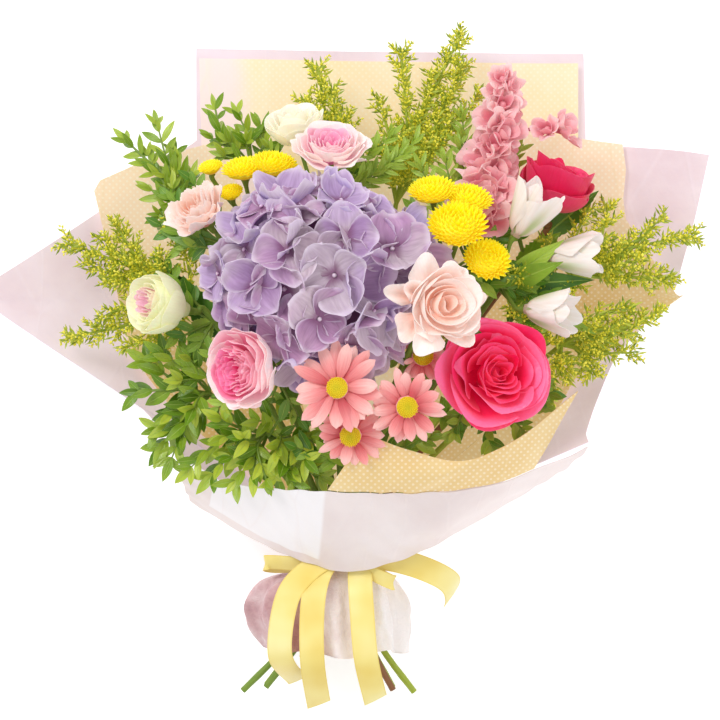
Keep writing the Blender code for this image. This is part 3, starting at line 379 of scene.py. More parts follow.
def turned_solid(profile, sides, base, axes):
    """Turned solid; the first and last profile points are on its axis."""
    turn = np.linspace(0, 2 * math.pi, sides, endpoint=False)
    rows = [np.stack([r * np.cos(turn), r * np.sin(turn), turn * 0 + h], axis=1) for r, h in profile[1:-1]]
    points = np.concatenate([[(0, 0, profile[0][1])]] + rows + [[(0, 0, profile[-1][1])]])
    at = 1 + np.arange(len(rows) * sides).reshape(len(rows), sides)
    faces, nxt = band_of(at)
    faces = faces.tolist()
    faces += [[0, b, a] for a, b in zip(at[0], nxt[0])]
    faces += [[a, b, len(points) - 1] for a, b in zip(at[-1], nxt[-1])]
    along = np.concatenate([[0], np.repeat(np.linspace(0, 1, len(rows)), sides), [1]])
    across = np.concatenate([[0], np.tile(turn / math.pi - 1, len(rows)), [0]])
    return placed(points, base, axes), faces, np.stack([along, across, along * 0], axis=1)


print("faces of a small leaf:", len(skin_faces(7, 11)))

# %% [markdown]
# ## Growing where the frame grows
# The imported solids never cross, so they are also a map of the free room. Before a fine petal or leaf is kept
# it is tried against the solids of every other piece. One that would cut through a neighbour is made a little
# shorter, and dropped if that isn't enough, as a crowded petal stays small on the plant.

# %% Room to grow
SOLIDS = {}
for node, solid in NODES.items():
    spots = np.array([tuple(v.co) for v in solid.data.vertices]) / MM
    tree = BVHTree.FromPolygons(spots.tolist(), [tuple(p.vertices) for p in solid.data.polygons])
    SOLIDS[node] = (tree, spots.min(0), spots.max(0))


def inside(tree, point):
    """True where a line from the point leaves the solid more often than it enters it."""
    way, place, crossings = Vector((0.31, 0.2, 0.93)).normalized(), Vector(point), 0
    while True:
        hit, _, _, _ = tree.ray_cast(place, way)
        if hit is None:
            return crossings % 2 == 1
        crossings += 1
        place = hit + way * 0.001


def clear(shell, own):
    """True where a shell cuts through no solid but those of its own piece."""
    points, faces, _ = shell
    low, high = points.min(0), points.max(0)
    mine = None
    for node, (tree, lo, hi) in SOLIDS.items():
        if node in own or (lo > high).any() or (hi < low).any():
            continue
        if mine is None:
            mine = BVHTree.FromPolygons(points.tolist(), faces)
        if tree.overlap(mine):
            return False
        if inside(tree, points[0].tolist()):
            return False
    return True


print("solids in the map of room:", len(SOLIDS))

# %% [markdown]
# ## One mesh for each piece
# A bloom is many shells, but it is one piece of the bouquet. A small class gathers the shells of a piece with
# their marks and makes one mesh of them, which takes the place of its solid. Joined objects would do the same
# more slowly. Shading stays smooth over petals and crisp at the edges of firmer pieces.

# %% Pieces from shells
PETAL_CREASE = 80.0
FIRM_CREASE = 55.0


def add_mark(mesh, name, values):
    """Keep one value on each point of a mesh."""
    mesh.attributes.new(name, "FLOAT", "POINT").data.foreach_set("value", values.astype(np.float32))


class Grown:
    """Gathers shells, tries each for room, and makes one piece of those that are kept."""

    def __init__(self, *nodes):
        self.nodes = nodes
        self.friends = ()
        self.points, self.faces, self.marks, self.count, self.dropped = [], [], [], 0, 0

    def put(self, shell, ring=0.0, tone=0.5):
        points, faces, marks = shell
        self.points.append(points)
        self.faces.append((faces, self.count))
        extra = np.full((len(points), 2), (ring, tone))
        self.marks.append(np.concatenate([marks, extra], axis=1))
        self.count += len(points)

    def grow(self, make, ring=0.0, tone=0.5, sizes=(1.0, 0.88, 0.76, 0.62)):
        """Keep the largest size of a shell that has room."""
        for size in sizes:
            shell = make(size)
            if clear(shell, self.nodes + self.friends):
                self.put(shell, ring, tone)
                return size
        self.dropped += 1
        return 0.0

    def piece(self, slot, finish, crease=PETAL_CREASE):
        node = self.nodes[0]
        mesh = bpy.data.meshes.new(node + "_fine")
        faces = [[i + start for i in face] for group, start in self.faces for face in group]
        mesh.from_pydata((np.concatenate(self.points) * MM).tolist(), [], faces)
        marks = np.concatenate(self.marks)
        for k, name in enumerate(("along", "across", "back", "ring", "tone")):
            add_mark(mesh, name, marks[:, k])
        mesh.shade_smooth()
        mesh.set_sharp_from_angle(angle=math.radians(crease))
        made = add_object(node + "_fine", mesh)
        mesh.materials.append(finish)
        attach(made, "root")
        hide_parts(*self.nodes)
        triangles = sum(len(f) - 2 for f in faces)
        print(f"{made.name}: {triangles} triangles, {self.dropped} shells without room")
        return made


print("edges are sharp from", FIRM_CREASE, "degrees on firm pieces and from", PETAL_CREASE, "on soft ones")

# %% [markdown]
# ## The bundle
# All the stems meet at the tie, a little left of the middle and low in the picture, and open again below it.
# Each bloom has a centre, the way it faces, a radius and a height. These places are the ones that the solids
# were built from, so that every fine bloom sits on its own stem.

# %% Places of the tie, the blooms and the sprays
TIE = np.array([-10.0, -130.0, 48.0])
STEM_PITCH = 4.6
STEM_R = 2.15
STEM_STEPS = 3
FAN_END = 94.0
RAMP = 1.35
GAP = 0.45
HYDRANGEA_CENTRE = np.array([-28.0, 52.0, 122.0])
HYDRANGEA_SIZE = np.array([70.0, 64.0, 56.0])

HEADS = {
    "rose_low": dict(c=(83, -9, 125), f=(0.05, 0.12, 1), r=36, h=36),
    "rose_top": dict(c=(128, 110, 75), f=(0.2, 0.85, 0.5), r=27, h=32),
    "garden_rose_low": dict(c=(-70, -5, 146), f=(-0.5, -0.05, 0.85), r=25, h=26),
    "garden_rose_left": dict(c=(-125, 35, 105), f=(-0.75, 0.15, 0.5), r=20, h=32),
    "carnation_right": dict(c=(46, 33, 172), f=(0.1, 0.0, 1), r=31, h=26),
    "carnation_left": dict(c=(-104, 95, 110), f=(-0.5, 0.6, 0.62), r=21, h=22),
    "garden_rose_top_front": dict(c=(-19, 136, 103), f=(0.05, 0.75, 0.66), r=24, h=20),
    "garden_rose_top_back": dict(c=(-42, 152, 73), f=(-0.2, 0.85, 0.5), r=19, h=28),
    "daisy_1": dict(c=(-14, -17, 166), f=(-0.1, 0.05, 1), r=31, h=12),
    "daisy_2": dict(c=(29, -29, 158), f=(0.15, -0.1, 1), r=26, h=12),
    "daisy_3": dict(c=(-6, -47, 148), f=(-0.1, -0.3, 0.95), r=24, h=12),
    "daisy_small": dict(c=(40, 3, 124), f=(0.1, 0.1, 1), r=19, h=12),
    "pompon_left_1": dict(c=(-97, 125, 92), f=(-0.2, 0.9, 0.44), r=8, h=8),
    "pompon_left_2": dict(c=(-75, 123, 97), f=(-0.1, 0.9, 0.44), r=14, h=12),
    "pompon_left_2b": dict(c=(-56, 126, 97), f=(0.1, 0.9, 0.44), r=15, h=13),
    "pompon_left_3": dict(c=(-84, 109, 88), f=(-0.2, 0.8, 0.6), r=8, h=8),
    "pompon_right_1": dict(c=(46, 107, 122), f=(-0.1, 0.85, 0.5), r=15, h=13),
    "pompon_right_1b": dict(c=(69, 102, 121), f=(0.15, 0.85, 0.5), r=15, h=13),
    "pompon_right_2": dict(c=(61, 84, 140), f=(0.0, 0.65, 0.75), r=21, h=17),
    "pompon_right_3": dict(c=(80, 63, 128), f=(0.2, 0.5, 0.85), r=17, h=15),
    "alstroemeria_1": dict(c=(109, 95, 112), f=(0.5, 0.8, 0.3), r=16, h=38),
    "alstroemeria_2": dict(c=(138, 68, 100), f=(0.97, 0.05, 0.25), r=15, h=36),
    "alstroemeria_3": dict(c=(121, 31, 118), f=(0.92, -0.1, 0.38), r=15, h=34),
}
for head in HEADS.values():
    head["f"] = unit(head["f"])
    head["b"] = np.array(head["c"], float) - head["f"] * head["h"] * 0.5

SPRAYS = {
    "garden_rose_top_stem": ((-28, 105, 68), ["garden_rose_top_front", "garden_rose_top_back"]),
    "daisy_stem": ((2, -62, 112), ["daisy_1", "daisy_2", "daisy_3", "daisy_small"]),
    "pompon_left_stem": ((-68, 88, 72), [
        "pompon_left_1", "pompon_left_2", "pompon_left_2b", "pompon_left_3"]),
    "pompon_right_stem": ((56, 58, 100), [
        "pompon_right_1", "pompon_right_1b", "pompon_right_2", "pompon_right_3"]),
    "alstroemeria_stem": ((92, 50, 88), ["alstroemeria_1", "alstroemeria_2", "alstroemeria_3"]),
}
SINGLES = {name + "_stem": name for name in ("rose_low", "rose_top", "garden_rose_low", "garden_rose_left",
                                             "carnation_right", "carnation_left")}
SPIRE = [(82, 92, 78), (86, 120, 76), (91, 152, 74), (95, 184, 70)]
FRONDS = {
    "goldenrod_top_left": ((2, 105, 52), [(-31, 204, 42), (-40, 180, 48), (-12, 168, 58)]),
    "goldenrod_top": ((24, 104, 60), [(70, 226, 38), (28, 214, 44), (72, 204, 46)]),
    "goldenrod_left": ((-112, 40, 66), [(-201, 81, 62), (-167, 94, 64), (-199, 13, 62)]),
    "goldenrod_right": ((140, 55, 72), [(228, 85, 62), (166, 106, 78), (212, 54, 66)]),
    "goldenrod_low_right": ((132, 10, 80), [(202, 33, 76), (157, -12, 88), (183, 20, 92)]),
    "greens_top_left": ((-112, 100, 62), [(-164, 155, 58), (-150, 118, 66), (-128, 150, 54)]),
    "greens_top": ((-72, 128, 58), [(-104, 179, 52), (-64, 168, 54), (-86, 160, 60)]),
    "greens_low_left": ((-98, -22, 84), [(-157, -20, 92), (-142, -52, 92), (-150, 4, 88), (-138, -66, 84)]),
    "greens_low": ((-60, -48, 92), [(-106, -82, 96), (-72, -84, 112), (-36, -78, 120), (-100, -34, 116),
                                    (-46, -30, 120)]),
}
print("blooms:", len(HEADS), "fronds:", len(FRONDS))

# %% [markdown]
# ## Papers: the surface they share
# Florist's paper is stiff: it bends one way at a time. The back and side sheets lie in one trough, flat on
# the table under the blooms and rising steeply to the tie, each sheet a little above the last. One formula
# gives the height of the trough, and one ripple is added to all the sheets alike, so that they never cut
# through each other.

# %% The trough
PAPER_STEP = (1.35, 2.8)
FLAT_TO = -36.0
PAPER_RISE = 30.6
SHEET_START = 8.15
CORNERS = [-60.5, -56, -55.2, -51.7, -44, -35.5, -27, -16.7, -6, 6, 16, 25.75, 31, 42.7, 48, 53.5, 54.5, 60,
           63.5, 65.2]
RISE_AT = [-140, -120, -95, -73, -25, 40, 140, 215]
RISE = np.log([0.110, 0.075, 0.026, 0.0115, 0.0064, 0.0020, 0.0020, 0.0010])


def smooth(x, a, b):
    t = np.clip((x - a) / (b - a), 0.0, 1.0)
    return t * t * (3 - 2 * t)


def trough(x, y):
    """Height of the outer paper."""
    low = PAPER_RISE * (np.maximum(0.0, FLAT_TO - y) / (FLAT_TO - TIE[1])) ** 2
    off = np.abs(x - TIE[0] * smooth(-y, -20, 130)) - 88.0 * smooth(y, -135, 10)
    return low + np.exp(np.interp(y, RISE_AT, RISE)) * np.maximum(0.0, off) ** 2


def ripple(x, y):
    """Soft waves and sharper pleats that run out from the tie, never below the table."""
    r = np.hypot(x - TIE[0], y - TIE[1])
    a = np.arctan2(x - TIE[0], y - TIE[1])
    waves = 0.5 + 0.5 * np.sin(11 * a + 0.013 * r + 1.1 * np.sin(3 * a))
    pleats = np.abs(np.sin(19 * a + 0.8 * np.sin(5 * a)))
    return 2.2 * smooth(r, 90, 260) * waves + 1.1 * smooth(r, 10, 60) * (1 - smooth(r, 120, 220)) * pleats


def reach(outline, angle):
    """Distance from the tie to an outline along a compass angle measured from +Y."""
    d = np.array([math.sin(angle), math.cos(angle)])
    best = 0.0
    for a, b in zip(outline, outline[1:]):
        a, b = np.array(a, float) - TIE[:2], np.array(b, float) - TIE[:2]
        e = b - a
        den = d[0] * e[1] - d[1] * e[0]
        if abs(den) < 1e-9:
            continue
        t = (a[0] * e[1] - a[1] * e[0]) / den
        s = (a[0] * d[1] - a[1] * d[0]) / den
        if -1e-6 <= s <= 1 + 1e-6 and t > best:
            best = t
    return best


def paper_in_trough(outline, layer, first, last, rows=42, between=6):
    """Middle points of a sheet between two compass angles, and its flat coordinates."""
    stops = [a for a in CORNERS if first - 0.1 <= a <= last + 0.1]
    angles = [a + (b - a) * k / between for a, b in zip(stops, stops[1:]) for k in range(between)]
    a = np.radians(angles + stops[-1:])[:, None]
    start = SHEET_START / np.cos(a)
    far = np.array([[max(reach(outline, t), SHEET_START / math.cos(t) + 12)] for t in a[:, 0]])
    r = start + (far - start) * np.linspace(0, 1, rows)[None, :] ** 1.15
    x, y = TIE[0] + r * np.sin(a), TIE[1] + r * np.cos(a)
    gx = (trough(x + 2, y) - trough(x - 2, y)) / 4
    gy = (trough(x, y + 2) - trough(x, y - 2)) / 4
    n = np.stack([-gx, -gy, np.ones_like(gx)], axis=-1)
    n /= np.linalg.norm(n, axis=-1, keepdims=True)
    step = (PAPER_STEP[0] + (PAPER_STEP[1] - PAPER_STEP[0]) * smooth(r, 50, 130)) * layer + 0.4 + ripple(x, y)
    return np.stack([x, y, trough(x, y)], axis=-1) + n * step[..., None], r * np.sin(a), r * np.cos(a)


print("height of the trough near its left corner, in mm:", round(float(trough(-200.0, 150.0)), 1))

# %% [markdown]
# ## Paper finishes
# The outer sheets are a pale dusty pink with a waxy sheen, the inner ones a warm cream printed with tiny
# white dots in a common polka pattern. The dots are worked out from the sheet's flat coordinates: the
# distance of a point to the nearest place of a staggered grid. Long faint creases and cloudy thickness break
# up the plain colour.

# %% Paper materials
DOTS_PER_MM = 0.21
PANEL_LEFT, PANEL_RIGHT, PANEL_FOOT = -112.0, -25.0, 8.0


def paper_finish(name, pale, main, deep, dots=0.0, panel=False, blush=False, far=None):
    """Waxed paper in three tones; far is a paler colour painted at its upper edge as light that comes through
    it.
    """
    made = Finish(name, (0.15, (0.004, 0.003, 0.002)), Roughness=0.5)
    x, y = made.mark("flat_x"), made.mark("flat_y")
    cloud = made.cloud(14.0, 4.0)
    long_cells = made.spot(x * 0.03, y * 0.009, 0.0)
    crease = made.add("TexVoronoi", {"feature": "DISTANCE_TO_EDGE"}, {"Vector": long_cells, "Scale": 1.0},
                      out="Distance")
    fold = 1 - made.ease(crease, 0.0, 0.035)
    colour = made.ramp(cloud + 0.10 * made.cloud(90.0), (0.30, deep), (0.52, main), (0.72, pale))
    colour = made.blend(made.mark("back") * 0.35, colour, pale)
    # Painted light: the upper edge of the sheet is painted paler, as light coming through the paper.
    if far:
        colour = made.blend(made.ease(y + 40.0 * cloud, 165.0, 265.0) * 0.9, colour, far)
    if dots:
        u, v = x * DOTS_PER_MM, y * DOTS_PER_MM
        plain, offset = (((u + shift).fraction() - 0.5) ** 2 + ((v + shift).fraction() - 0.5) ** 2
                         for shift in (0.0, 0.5))
        near = plain.math("MINIMUM", plain, offset) ** 0.5
        colour = made.blend((1 - made.ease(near, 0.12, 0.21)) * dots, colour, "#fffaf0")
    if blush:
        left = 1 - made.ease(x + 0.12 * y + 30.0 * cloud, -24.0, -4.0)
        colour = made.blend(left * 0.9, colour, "#fbe3e2")
    if panel:
        left, right = made.ease(x, PANEL_LEFT, PANEL_LEFT + 1.5), made.ease(x, PANEL_RIGHT, PANEL_RIGHT + 3.0)
        inside = left * (1 - right) * made.ease(y, PANEL_FOOT, PANEL_FOOT + 1.5)
        colour = made.blend(inside * 0.85, colour, "#f3f0f3")
    colour = made.blend(fold * 0.18, colour, pale)
    height = made.cloud(420.0, 2.0) * 0.25 + fold * 0.25 + made.cloud(60.0) * 0.7
    # Painted light: a strong glow gives off the paper's colour and lifts the shade in the pockets under the
    # blooms, as if light came through the paper; dim darkens the base colour to match.
    return made.done(colour, height, 0.0004, glow=0.41, dim=0.64)


PINK_PAPER = paper_finish("pink_paper", "#ebdde6", "#e4d3db", "#d8c1cb")
CREAM_PAPER = paper_finish("cream_paper", "#ead09a", "#e5c282", "#dcb162", dots=0.33, far="#f8dfc2")
# Painted light: the back sheet's cream is paler than the side sheets' as light that comes through the paper;
# its pink blush on the left and its fainter dots are its own.
BACKLIT_CREAM = paper_finish("thin_cream_paper", "#fceac9", "#fae2b6", "#f5d49b", dots=0.25, blush=True)
COLLAR_PAPER = paper_finish("collar_paper", "#eadfde", "#decfce", "#d1bebe", panel=True)
print("dots are", round(1 / DOTS_PER_MM, 1), "mm apart")

# %% [markdown]
# ## Back and side sheets
# Six sheets lie in the trough: three pink and three cream. Each is cut from its outline, whose corners fall
# on angles that all the sheets share. A sheet keeps its own flat coordinates on its points, for the printed
# dots.

# %% Six sheets
SHEETS = {
    "sheet_back_pink": (PINK_PAPER, 0, -44, 43, [(-112, -80), (-114, 216), (155, 212), (158, -10)]),
    "sheet_left_pink": (PINK_PAPER, 1, -60.5, -16, [
        (-128, -95), (-113, -73), (-157, -26), (-243, 30), (-245, 55), (-177, 104), (-90, 170), (-40, 170)]),
    "sheet_right_pink": (PINK_PAPER, 1, 16, 65.2, [
        (40, 160), (157, 149), (237, 138), (228, 95), (215, 45), (176, 0), (149, -52), (150, -90)]),
    "sheet_back_cream": (BACKLIT_CREAM, 2, -44, 43, [(-104, -80), (-111.6, 208.4), (151.3, 204.4), (152, -10)]),
    "sheet_left_cream": (CREAM_PAPER, 3, -56, -16, [
        (-128, -45), (-160, 0), (-172, 60), (-186, 120), (-150, 137), (-95, 152), (-40, 158)]),
    "sheet_right_cream": (CREAM_PAPER, 3, 16, 60, [
        (40, 150), (120, 158), (186, 145), (182, 100), (222, 38), (174, 4), (150, -20), (126, -60),
        (120, -90)]),
}


def sheet(node, finish, mid, x, y):
    """One sheet of paper over its middle points, with its flat coordinates in millimetres."""
    grown = Grown(node)
    grown.put(skin(mid, rim=1.0))
    made = grown.piece("paper_pink" if "pink" in node else "paper_cream", finish, FIRM_CREASE)
    for name, values in (("flat_x", x), ("flat_y", y)):
        add_mark(made.data, name, np.tile(np.asarray(values, float).ravel(), 2))


for node, (finish, layer, first, last, outline) in SHEETS.items():
    sheet(node, finish, *(part[:, ::-1] for part in paper_in_trough(outline, layer, first, last)))

# %% [markdown]
# ## Collar and folded lip
# The front sheet wraps up and over the stems as a smooth collar, and its cream lining is folded out over the
# lip. Both are lofted: smooth curves are laid through a few control points, and the sheet follows them. The
# pale band on the left half of the collar is only a colour in its finish.

# %% Collar and lip
COLLAR = [
    [(-113, -95, 50), (-72, -119, 58), (-38, -132, 74), (-6, -138, 84), (34, -128, 80), (76, -108, 64),
     (122, -82, 50)],
    [(-116, -88, 55), (-70, -104, 76), (-36, -112, 98), (-3, -114, 108), (34, -111, 106), (80, -96, 88),
     (138, -72, 54)],
    [(-119, -78, 60), (-66, -82, 102), (-34, -83, 120), (0, -84, 128), (36, -84, 128), (84, -80, 112),
     (152, -58, 62)],
]
FLAP = [(4, -46, 141), (30, -56, 141), (66, -63, 138), (104, -47, 123), (140, -20, 101)]
LIP_FROM, LIP_TO = 0.4, 0.9
LIP_ROWS = 20
LIP_CROWN = 5.0
LIP_STEEPNESS = 1.1


def loft(curves, nu, nv):
    """Grid through control curves, smooth both ways."""
    return np.array([[spline([spline(c, i / (nu - 1)) for c in curves], j / (nv - 1))
                      for j in range(nv)] for i in range(nu)])


def waved(mid, size, seed, across=9.0, along=3.0):
    """Push a grid in and out along its own normal by a few soft waves."""
    rng = random.Random(seed)
    m, n = mid.shape[:2]
    u, v = np.linspace(0, 1, m)[:, None], np.linspace(0, 1, n)[None, :]
    push = 0
    for k in range(4):
        fu, fv = across * rng.uniform(0.5, 1.5), along * rng.uniform(0.3, 1.2)
        push = push + np.sin(2 * math.pi * (fu * u + fv * v) + rng.uniform(0, 6)) / (1 + k)
    return mid + normals(mid) * (size * push / 2)[..., None]


def arc_lengths(mid):
    """Flat coordinates of a lofted grid: lengths along its rows and up its columns."""
    du = np.linalg.norm(np.diff(mid, axis=0), axis=2)
    dv = np.linalg.norm(np.diff(mid, axis=1), axis=2)
    x = np.concatenate([np.zeros((1, mid.shape[1])), np.cumsum(du, axis=0)])
    y = np.concatenate([np.zeros((mid.shape[0], 1)), np.cumsum(dv, axis=1)], axis=1)
    return x - x[len(x) // 2], y


collar = waved(loft(COLLAR, 104, 28), 0.8, 5)
sheet("sheet_front_pink", COLLAR_PAPER, collar, *arc_lengths(collar))


def lip_points(columns, rows):
    """The folded front edge: it starts just inside the lip of the collar and turns in over the flowers."""
    out = np.zeros((columns, rows, 3))
    for i in range(columns):
        s = i / (columns - 1)
        fold = spline(collar[:, -1], LIP_FROM + (LIP_TO - LIP_FROM) * s) + np.array([0, 0.9, 0.1])
        inner = spline(FLAP, s)
        for j in range(rows):
            t = j / (rows - 1)
            out[i, j] = fold + (inner - fold) * t + np.array([0, 0, LIP_CROWN * math.sin(math.pi * t)])
    return out


lip = lip_points(68, LIP_ROWS)
lip += (waved(lip, 0.7, 8, 4.0, 1.0) - lip) * np.linspace(0, 1, LIP_ROWS)[None, :, None] ** 0.5
sheet("sheet_front_cream", CREAM_PAPER, lip, lip[..., 0], lip[..., 1] * LIP_STEEPNESS)

# %% [markdown]
# ## Finishes of skirt, ribbon and cord
# The skirt is mauve paper crushed by hand, paler toward its right side. The ribbon is satin with fine ribs
# along it and a deeper yellow at its edges, and the cord is twisted twine. Their plain colours need only
# clouds of noise, and a sine wave where there are ribs or twisted strands.

# %% Skirt, ribbon and cord materials
def skirt_finish():
    made = Finish("crushed_mauve_paper", (0.2, (0.004, 0.0025, 0.0025)), Roughness=0.42, Sheen_Weight=0.2)
    cloud = made.cloud(38.0, 4.0)
    crush = made.cloud(120.0, 5.0)
    colour = made.ramp(cloud + 0.35 * (crush - 0.5), (0.3, "#a8757c"), (0.5, "#cda3a6"), (0.72, "#ead3d3"))
    colour = made.blend(made.mark("back") * 0.5, colour, "#c69da0")
    place = made.add("SeparateXYZ", {}, {0: made.add("TexCoord", out="Object")})
    colour = made.blend(made.ease(place + 0.03 * (cloud - 0.5), -0.052, 0.012) * 0.9, colour, "#f6efec")
    # glow: painted light, a faint emission that lifts the shade in the folds of the skirt
    return made.done(colour, crush + 0.3 * made.cloud(700.0, 1.0), 0.0016, glow=0.08)


def ribbon_finish():
    made = Finish("satin_ribbon", Roughness=0.3, Sheen_Weight=0.25, Anisotropic=0.3)
    across = made.mark("across")
    rib = (across * 140.0).sine()
    cloud = made.cloud(26.0, 2.0)
    colour = made.ramp(cloud, (0.3, "#ebd06a"), (0.5, "#f2df86"), (0.7, "#f6eaa4"))
    edge = made.ease(across.size(), 0.86, 0.97)
    colour = made.blend(edge * 0.45, colour, "#e2c352")
    # glow: painted light, a faint emission that lifts the shade on the ribbon
    return made.done(colour, rib * 0.15 + made.cloud(300.0) * 0.4, 0.0002, glow=0.06)


def cord_finish():
    made = Finish("twine", Roughness=0.85)
    fibre = made.cloud(900.0, 3.0)
    twist = (made.mark("across") * 160.0 + made.mark("along") * 60.0).sine()
    colour = made.blend(fibre * 0.6 + twist * 0.15, "#8d7a4e", "#cbb98a")
    return made.done(colour, twist + fibre, 0.0003)


RIBBON = ribbon_finish()
print("nodes in the ribbon's finish:", len(RIBBON.node_tree.nodes))

# %% [markdown]
# ## Skirt, band and cord
# Below the tie a second, softer paper is gathered round the stems. Its folds come from a ring whose radius
# waves eight times round; finer waves on top make it look crushed by hand. The band and the cord under it are
# plain hoops, the cord ribbed by its five turns.

# %% Hoops round the stems
SKIRT_FOLDS = 8


def ring(y, rx, rz, n, flute=0.0, cx=TIE[0], cz=TIE[2], crush=0.0):
    """Points of one ring round the stems, fluted by the folds and crushed by two finer waves."""
    a = np.linspace(0, 2 * math.pi, n, endpoint=False)
    s = 1 + flute * np.cos(SKIRT_FOLDS * a)
    s = s + crush * (np.sin(23 * a + y * 0.11) + 0.6 * np.sin(37 * a - y * 0.2)) / 2
    return np.stack([cx + rx * s * np.cos(a), a * 0 + y, cz + rz * s * np.sin(a)], axis=1)


def wall(inner, outer):
    """Closed tube wall between two stacks of rings."""
    a, b = np.asarray(inner, float), np.asarray(outer, float)
    m, n = a.shape[:2]
    at = np.arange(m * n).reshape(m, n)
    out, nxt = band_of(at)
    low = np.stack([nxt[0], at[0], at[0] + m * n, nxt[0] + m * n], axis=1)
    top = np.stack([at[-1], nxt[-1], nxt[-1] + m * n, at[-1] + m * n], axis=1)
    faces = np.concatenate([out, out[:, ::-1] + m * n, low, top]).tolist()
    along = np.tile(np.repeat(np.linspace(0, 1, m), n), 2)
    across = np.tile(np.linspace(-1, 1, n, endpoint=False), m * 2)
    back = np.repeat([0.0, 1.0], m * n)
    points = np.concatenate([b.reshape(-1, 3), a.reshape(-1, 3)])
    return points, faces, np.stack([along, across, back], axis=1)


SKIRT = [(-138.6, 19, 19, 0.01, 0), (-148, 42, 27, 0.08, -11), (-168, 50, 31, 0.11, -12),
         (-194, 45, 29, 0.10, -6)]
SKIRT_AROUND, SKIRT_ROWS = 160, 24
BAND_INSIDE, BAND_OUTSIDE = 18.4, 19.1
BAND_ROWS = np.linspace(-138, -122, 7)
CORD_TURNS, CORD_SIDES = 5, 32
CORD_FROM, CORD_WIDTH = -134, 8
CORD_INSIDE, CORD_OUTSIDE, CORD_RIB = 15.1, 16.6, 1.0
CORD_ROWS = np.linspace(CORD_FROM, CORD_FROM + CORD_WIDTH, 4 * CORD_TURNS + 1)


def skirt_rings(inset):
    """Rings of the skirt from the tie down, looser and more crushed toward its hem."""
    rings = []
    around = np.linspace(0, 2 * math.pi, SKIRT_AROUND, endpoint=False)
    for t in (k / (SKIRT_ROWS - 1) for k in range(SKIRT_ROWS)):
        y, rx, rz, flute, dx = spline(SKIRT, t)
        rings.append(ring(y, rx - inset, rz - inset, SKIRT_AROUND, flute, TIE[0] + dx, TIE[2] - 0.1 * abs(dx),
                          0.045 * smooth(t, 0.05, 0.6)))
        rings[-1][:, 1] -= 2.5 * smooth(t, 0.8, 1.0) * np.sin(5 * around + 1.0)
    return rings


def band_rings(r):
    return [ring(y, r + 0.25 * math.sin(y), r, 72) for y in BAND_ROWS]


def cord_rings(r, rib):
    ribs = [r + rib * abs(math.sin(math.pi * CORD_TURNS * (y - CORD_FROM) / CORD_WIDTH)) for y in CORD_ROWS]
    return [ring(y, wide, wide, CORD_SIDES) for y, wide in zip(CORD_ROWS, ribs)]


def hoop(node, slot, finish, inner, outer, crease=FIRM_CREASE):
    grown = Grown(node)
    grown.put(wall(inner, outer))
    grown.piece(slot, finish, crease)


hoop("skirt_paper", "paper_mauve", skirt_finish(), skirt_rings(SHEET_THICK), skirt_rings(0.0), PETAL_CREASE)
hoop("ribbon_band", "ribbon_yellow", RIBBON, band_rings(BAND_INSIDE), band_rings(BAND_OUTSIDE))
hoop("binding_cord", "binding_cord", cord_finish(), cord_rings(CORD_INSIDE, 0.0),
     cord_rings(CORD_OUTSIDE, CORD_RIB))

# %% [markdown]
# ## Ribbon tails
# The ribbon is stiff florist's ribbon, wide and thin, so it bends along its length but hardly across it. Each
# tail is a strip that follows a smooth path, with a slight twist and wave, and its end is cut on the slant.

# %% Tails, loops and knots
TAIL_WIDTH, LOOP_WIDTH = 16.0, 10.0
TAIL_SLANT = -7.0
KNOT_THICK, KNOT_BEND, KNOT_LIFT = 2.2, 19.7, 1.7
KNOT_LEFT, KNOT_RIGHT = -15.2, -4.8
ACROSS, ALONG_BAND, STEEP_ACROSS = (1, 0.05, 0), (0, 1, 0.3), (0.45, 0.9, 0)
TAILS = {
    "ribbon_tails_left": [
        [(-17, -131, 69.6), (-35, -139, 79), (-48, -157, 86), (-52, -193, 86), (-40, -215, 56)],
        [(-19, -131, 70.4), (-27, -141, 80), (-31, -162, 88), (-31, -197, 87), (-27, -232, 56)],
        [(-16, -132.5, 69.2), (-38, -134.5, 68), (-61, -134, 64), (-56, -137, 60), (-18, -134.5, 69.8)],
    ],
    "ribbon_tails_right": [
        [(1, -131, 69.6), (0, -141, 80), (1, -160, 87), (4, -195, 86), (11, -228, 64)],
        [(-3, -130, 69.2), (20, -131, 74), (44, -138, 74), (60, -148, 66), (61, -160, 56)],
        [(-4, -134, 69.6), (10, -141, 79), (22, -146, 78), (15, -143, 72), (-3, -134, 69.0)],
    ],
}


def strip(points, n, width, side, slant=0.0):
    """Flat ribbon along a smooth path, lying across a side direction, with its end cut on the slant."""
    steps = np.linspace(0, 1, n)
    mid = np.array([spline(points, t) for t in steps])
    tan = np.gradient(mid, axis=0)
    lanes = np.linspace(-0.5, 0.5, 7)
    out = np.zeros((n, len(lanes), 3))
    for i in range(n):
        ahead = unit(tan[i])
        s = unit(np.asarray(side, float) - ahead * np.dot(side, ahead))
        bow = np.cross(s, ahead) * 0.9
        for j, lane in enumerate(lanes):
            cut = ahead * slant * (lane + 0.5) * smooth(steps[i], 0.86, 1.0)
            curl = bow * (4 * lane * lane - 0.5) * math.sin(9 * steps[i])
            out[i, j] = mid[i] + s * width * lane + curl + cut
    return skin(out.transpose(1, 0, 2), rim=1.0)


def knot(x):
    """Low knot bent to the band."""
    lanes = np.linspace(-4.4, 4.4, 11)
    height = TIE[2] + np.sqrt(KNOT_BEND ** 2 - (x + lanes - TIE[0]) ** 2) + KNOT_LIFT
    rows = np.linspace(-137, -123, 17)
    out = np.array([[(x + lane, y, z + 0.4 * math.sin(2.2 * y + lane)) for y in rows]
                    for lane, z in zip(lanes, height)])
    return skin(out, KNOT_THICK, 0.7)


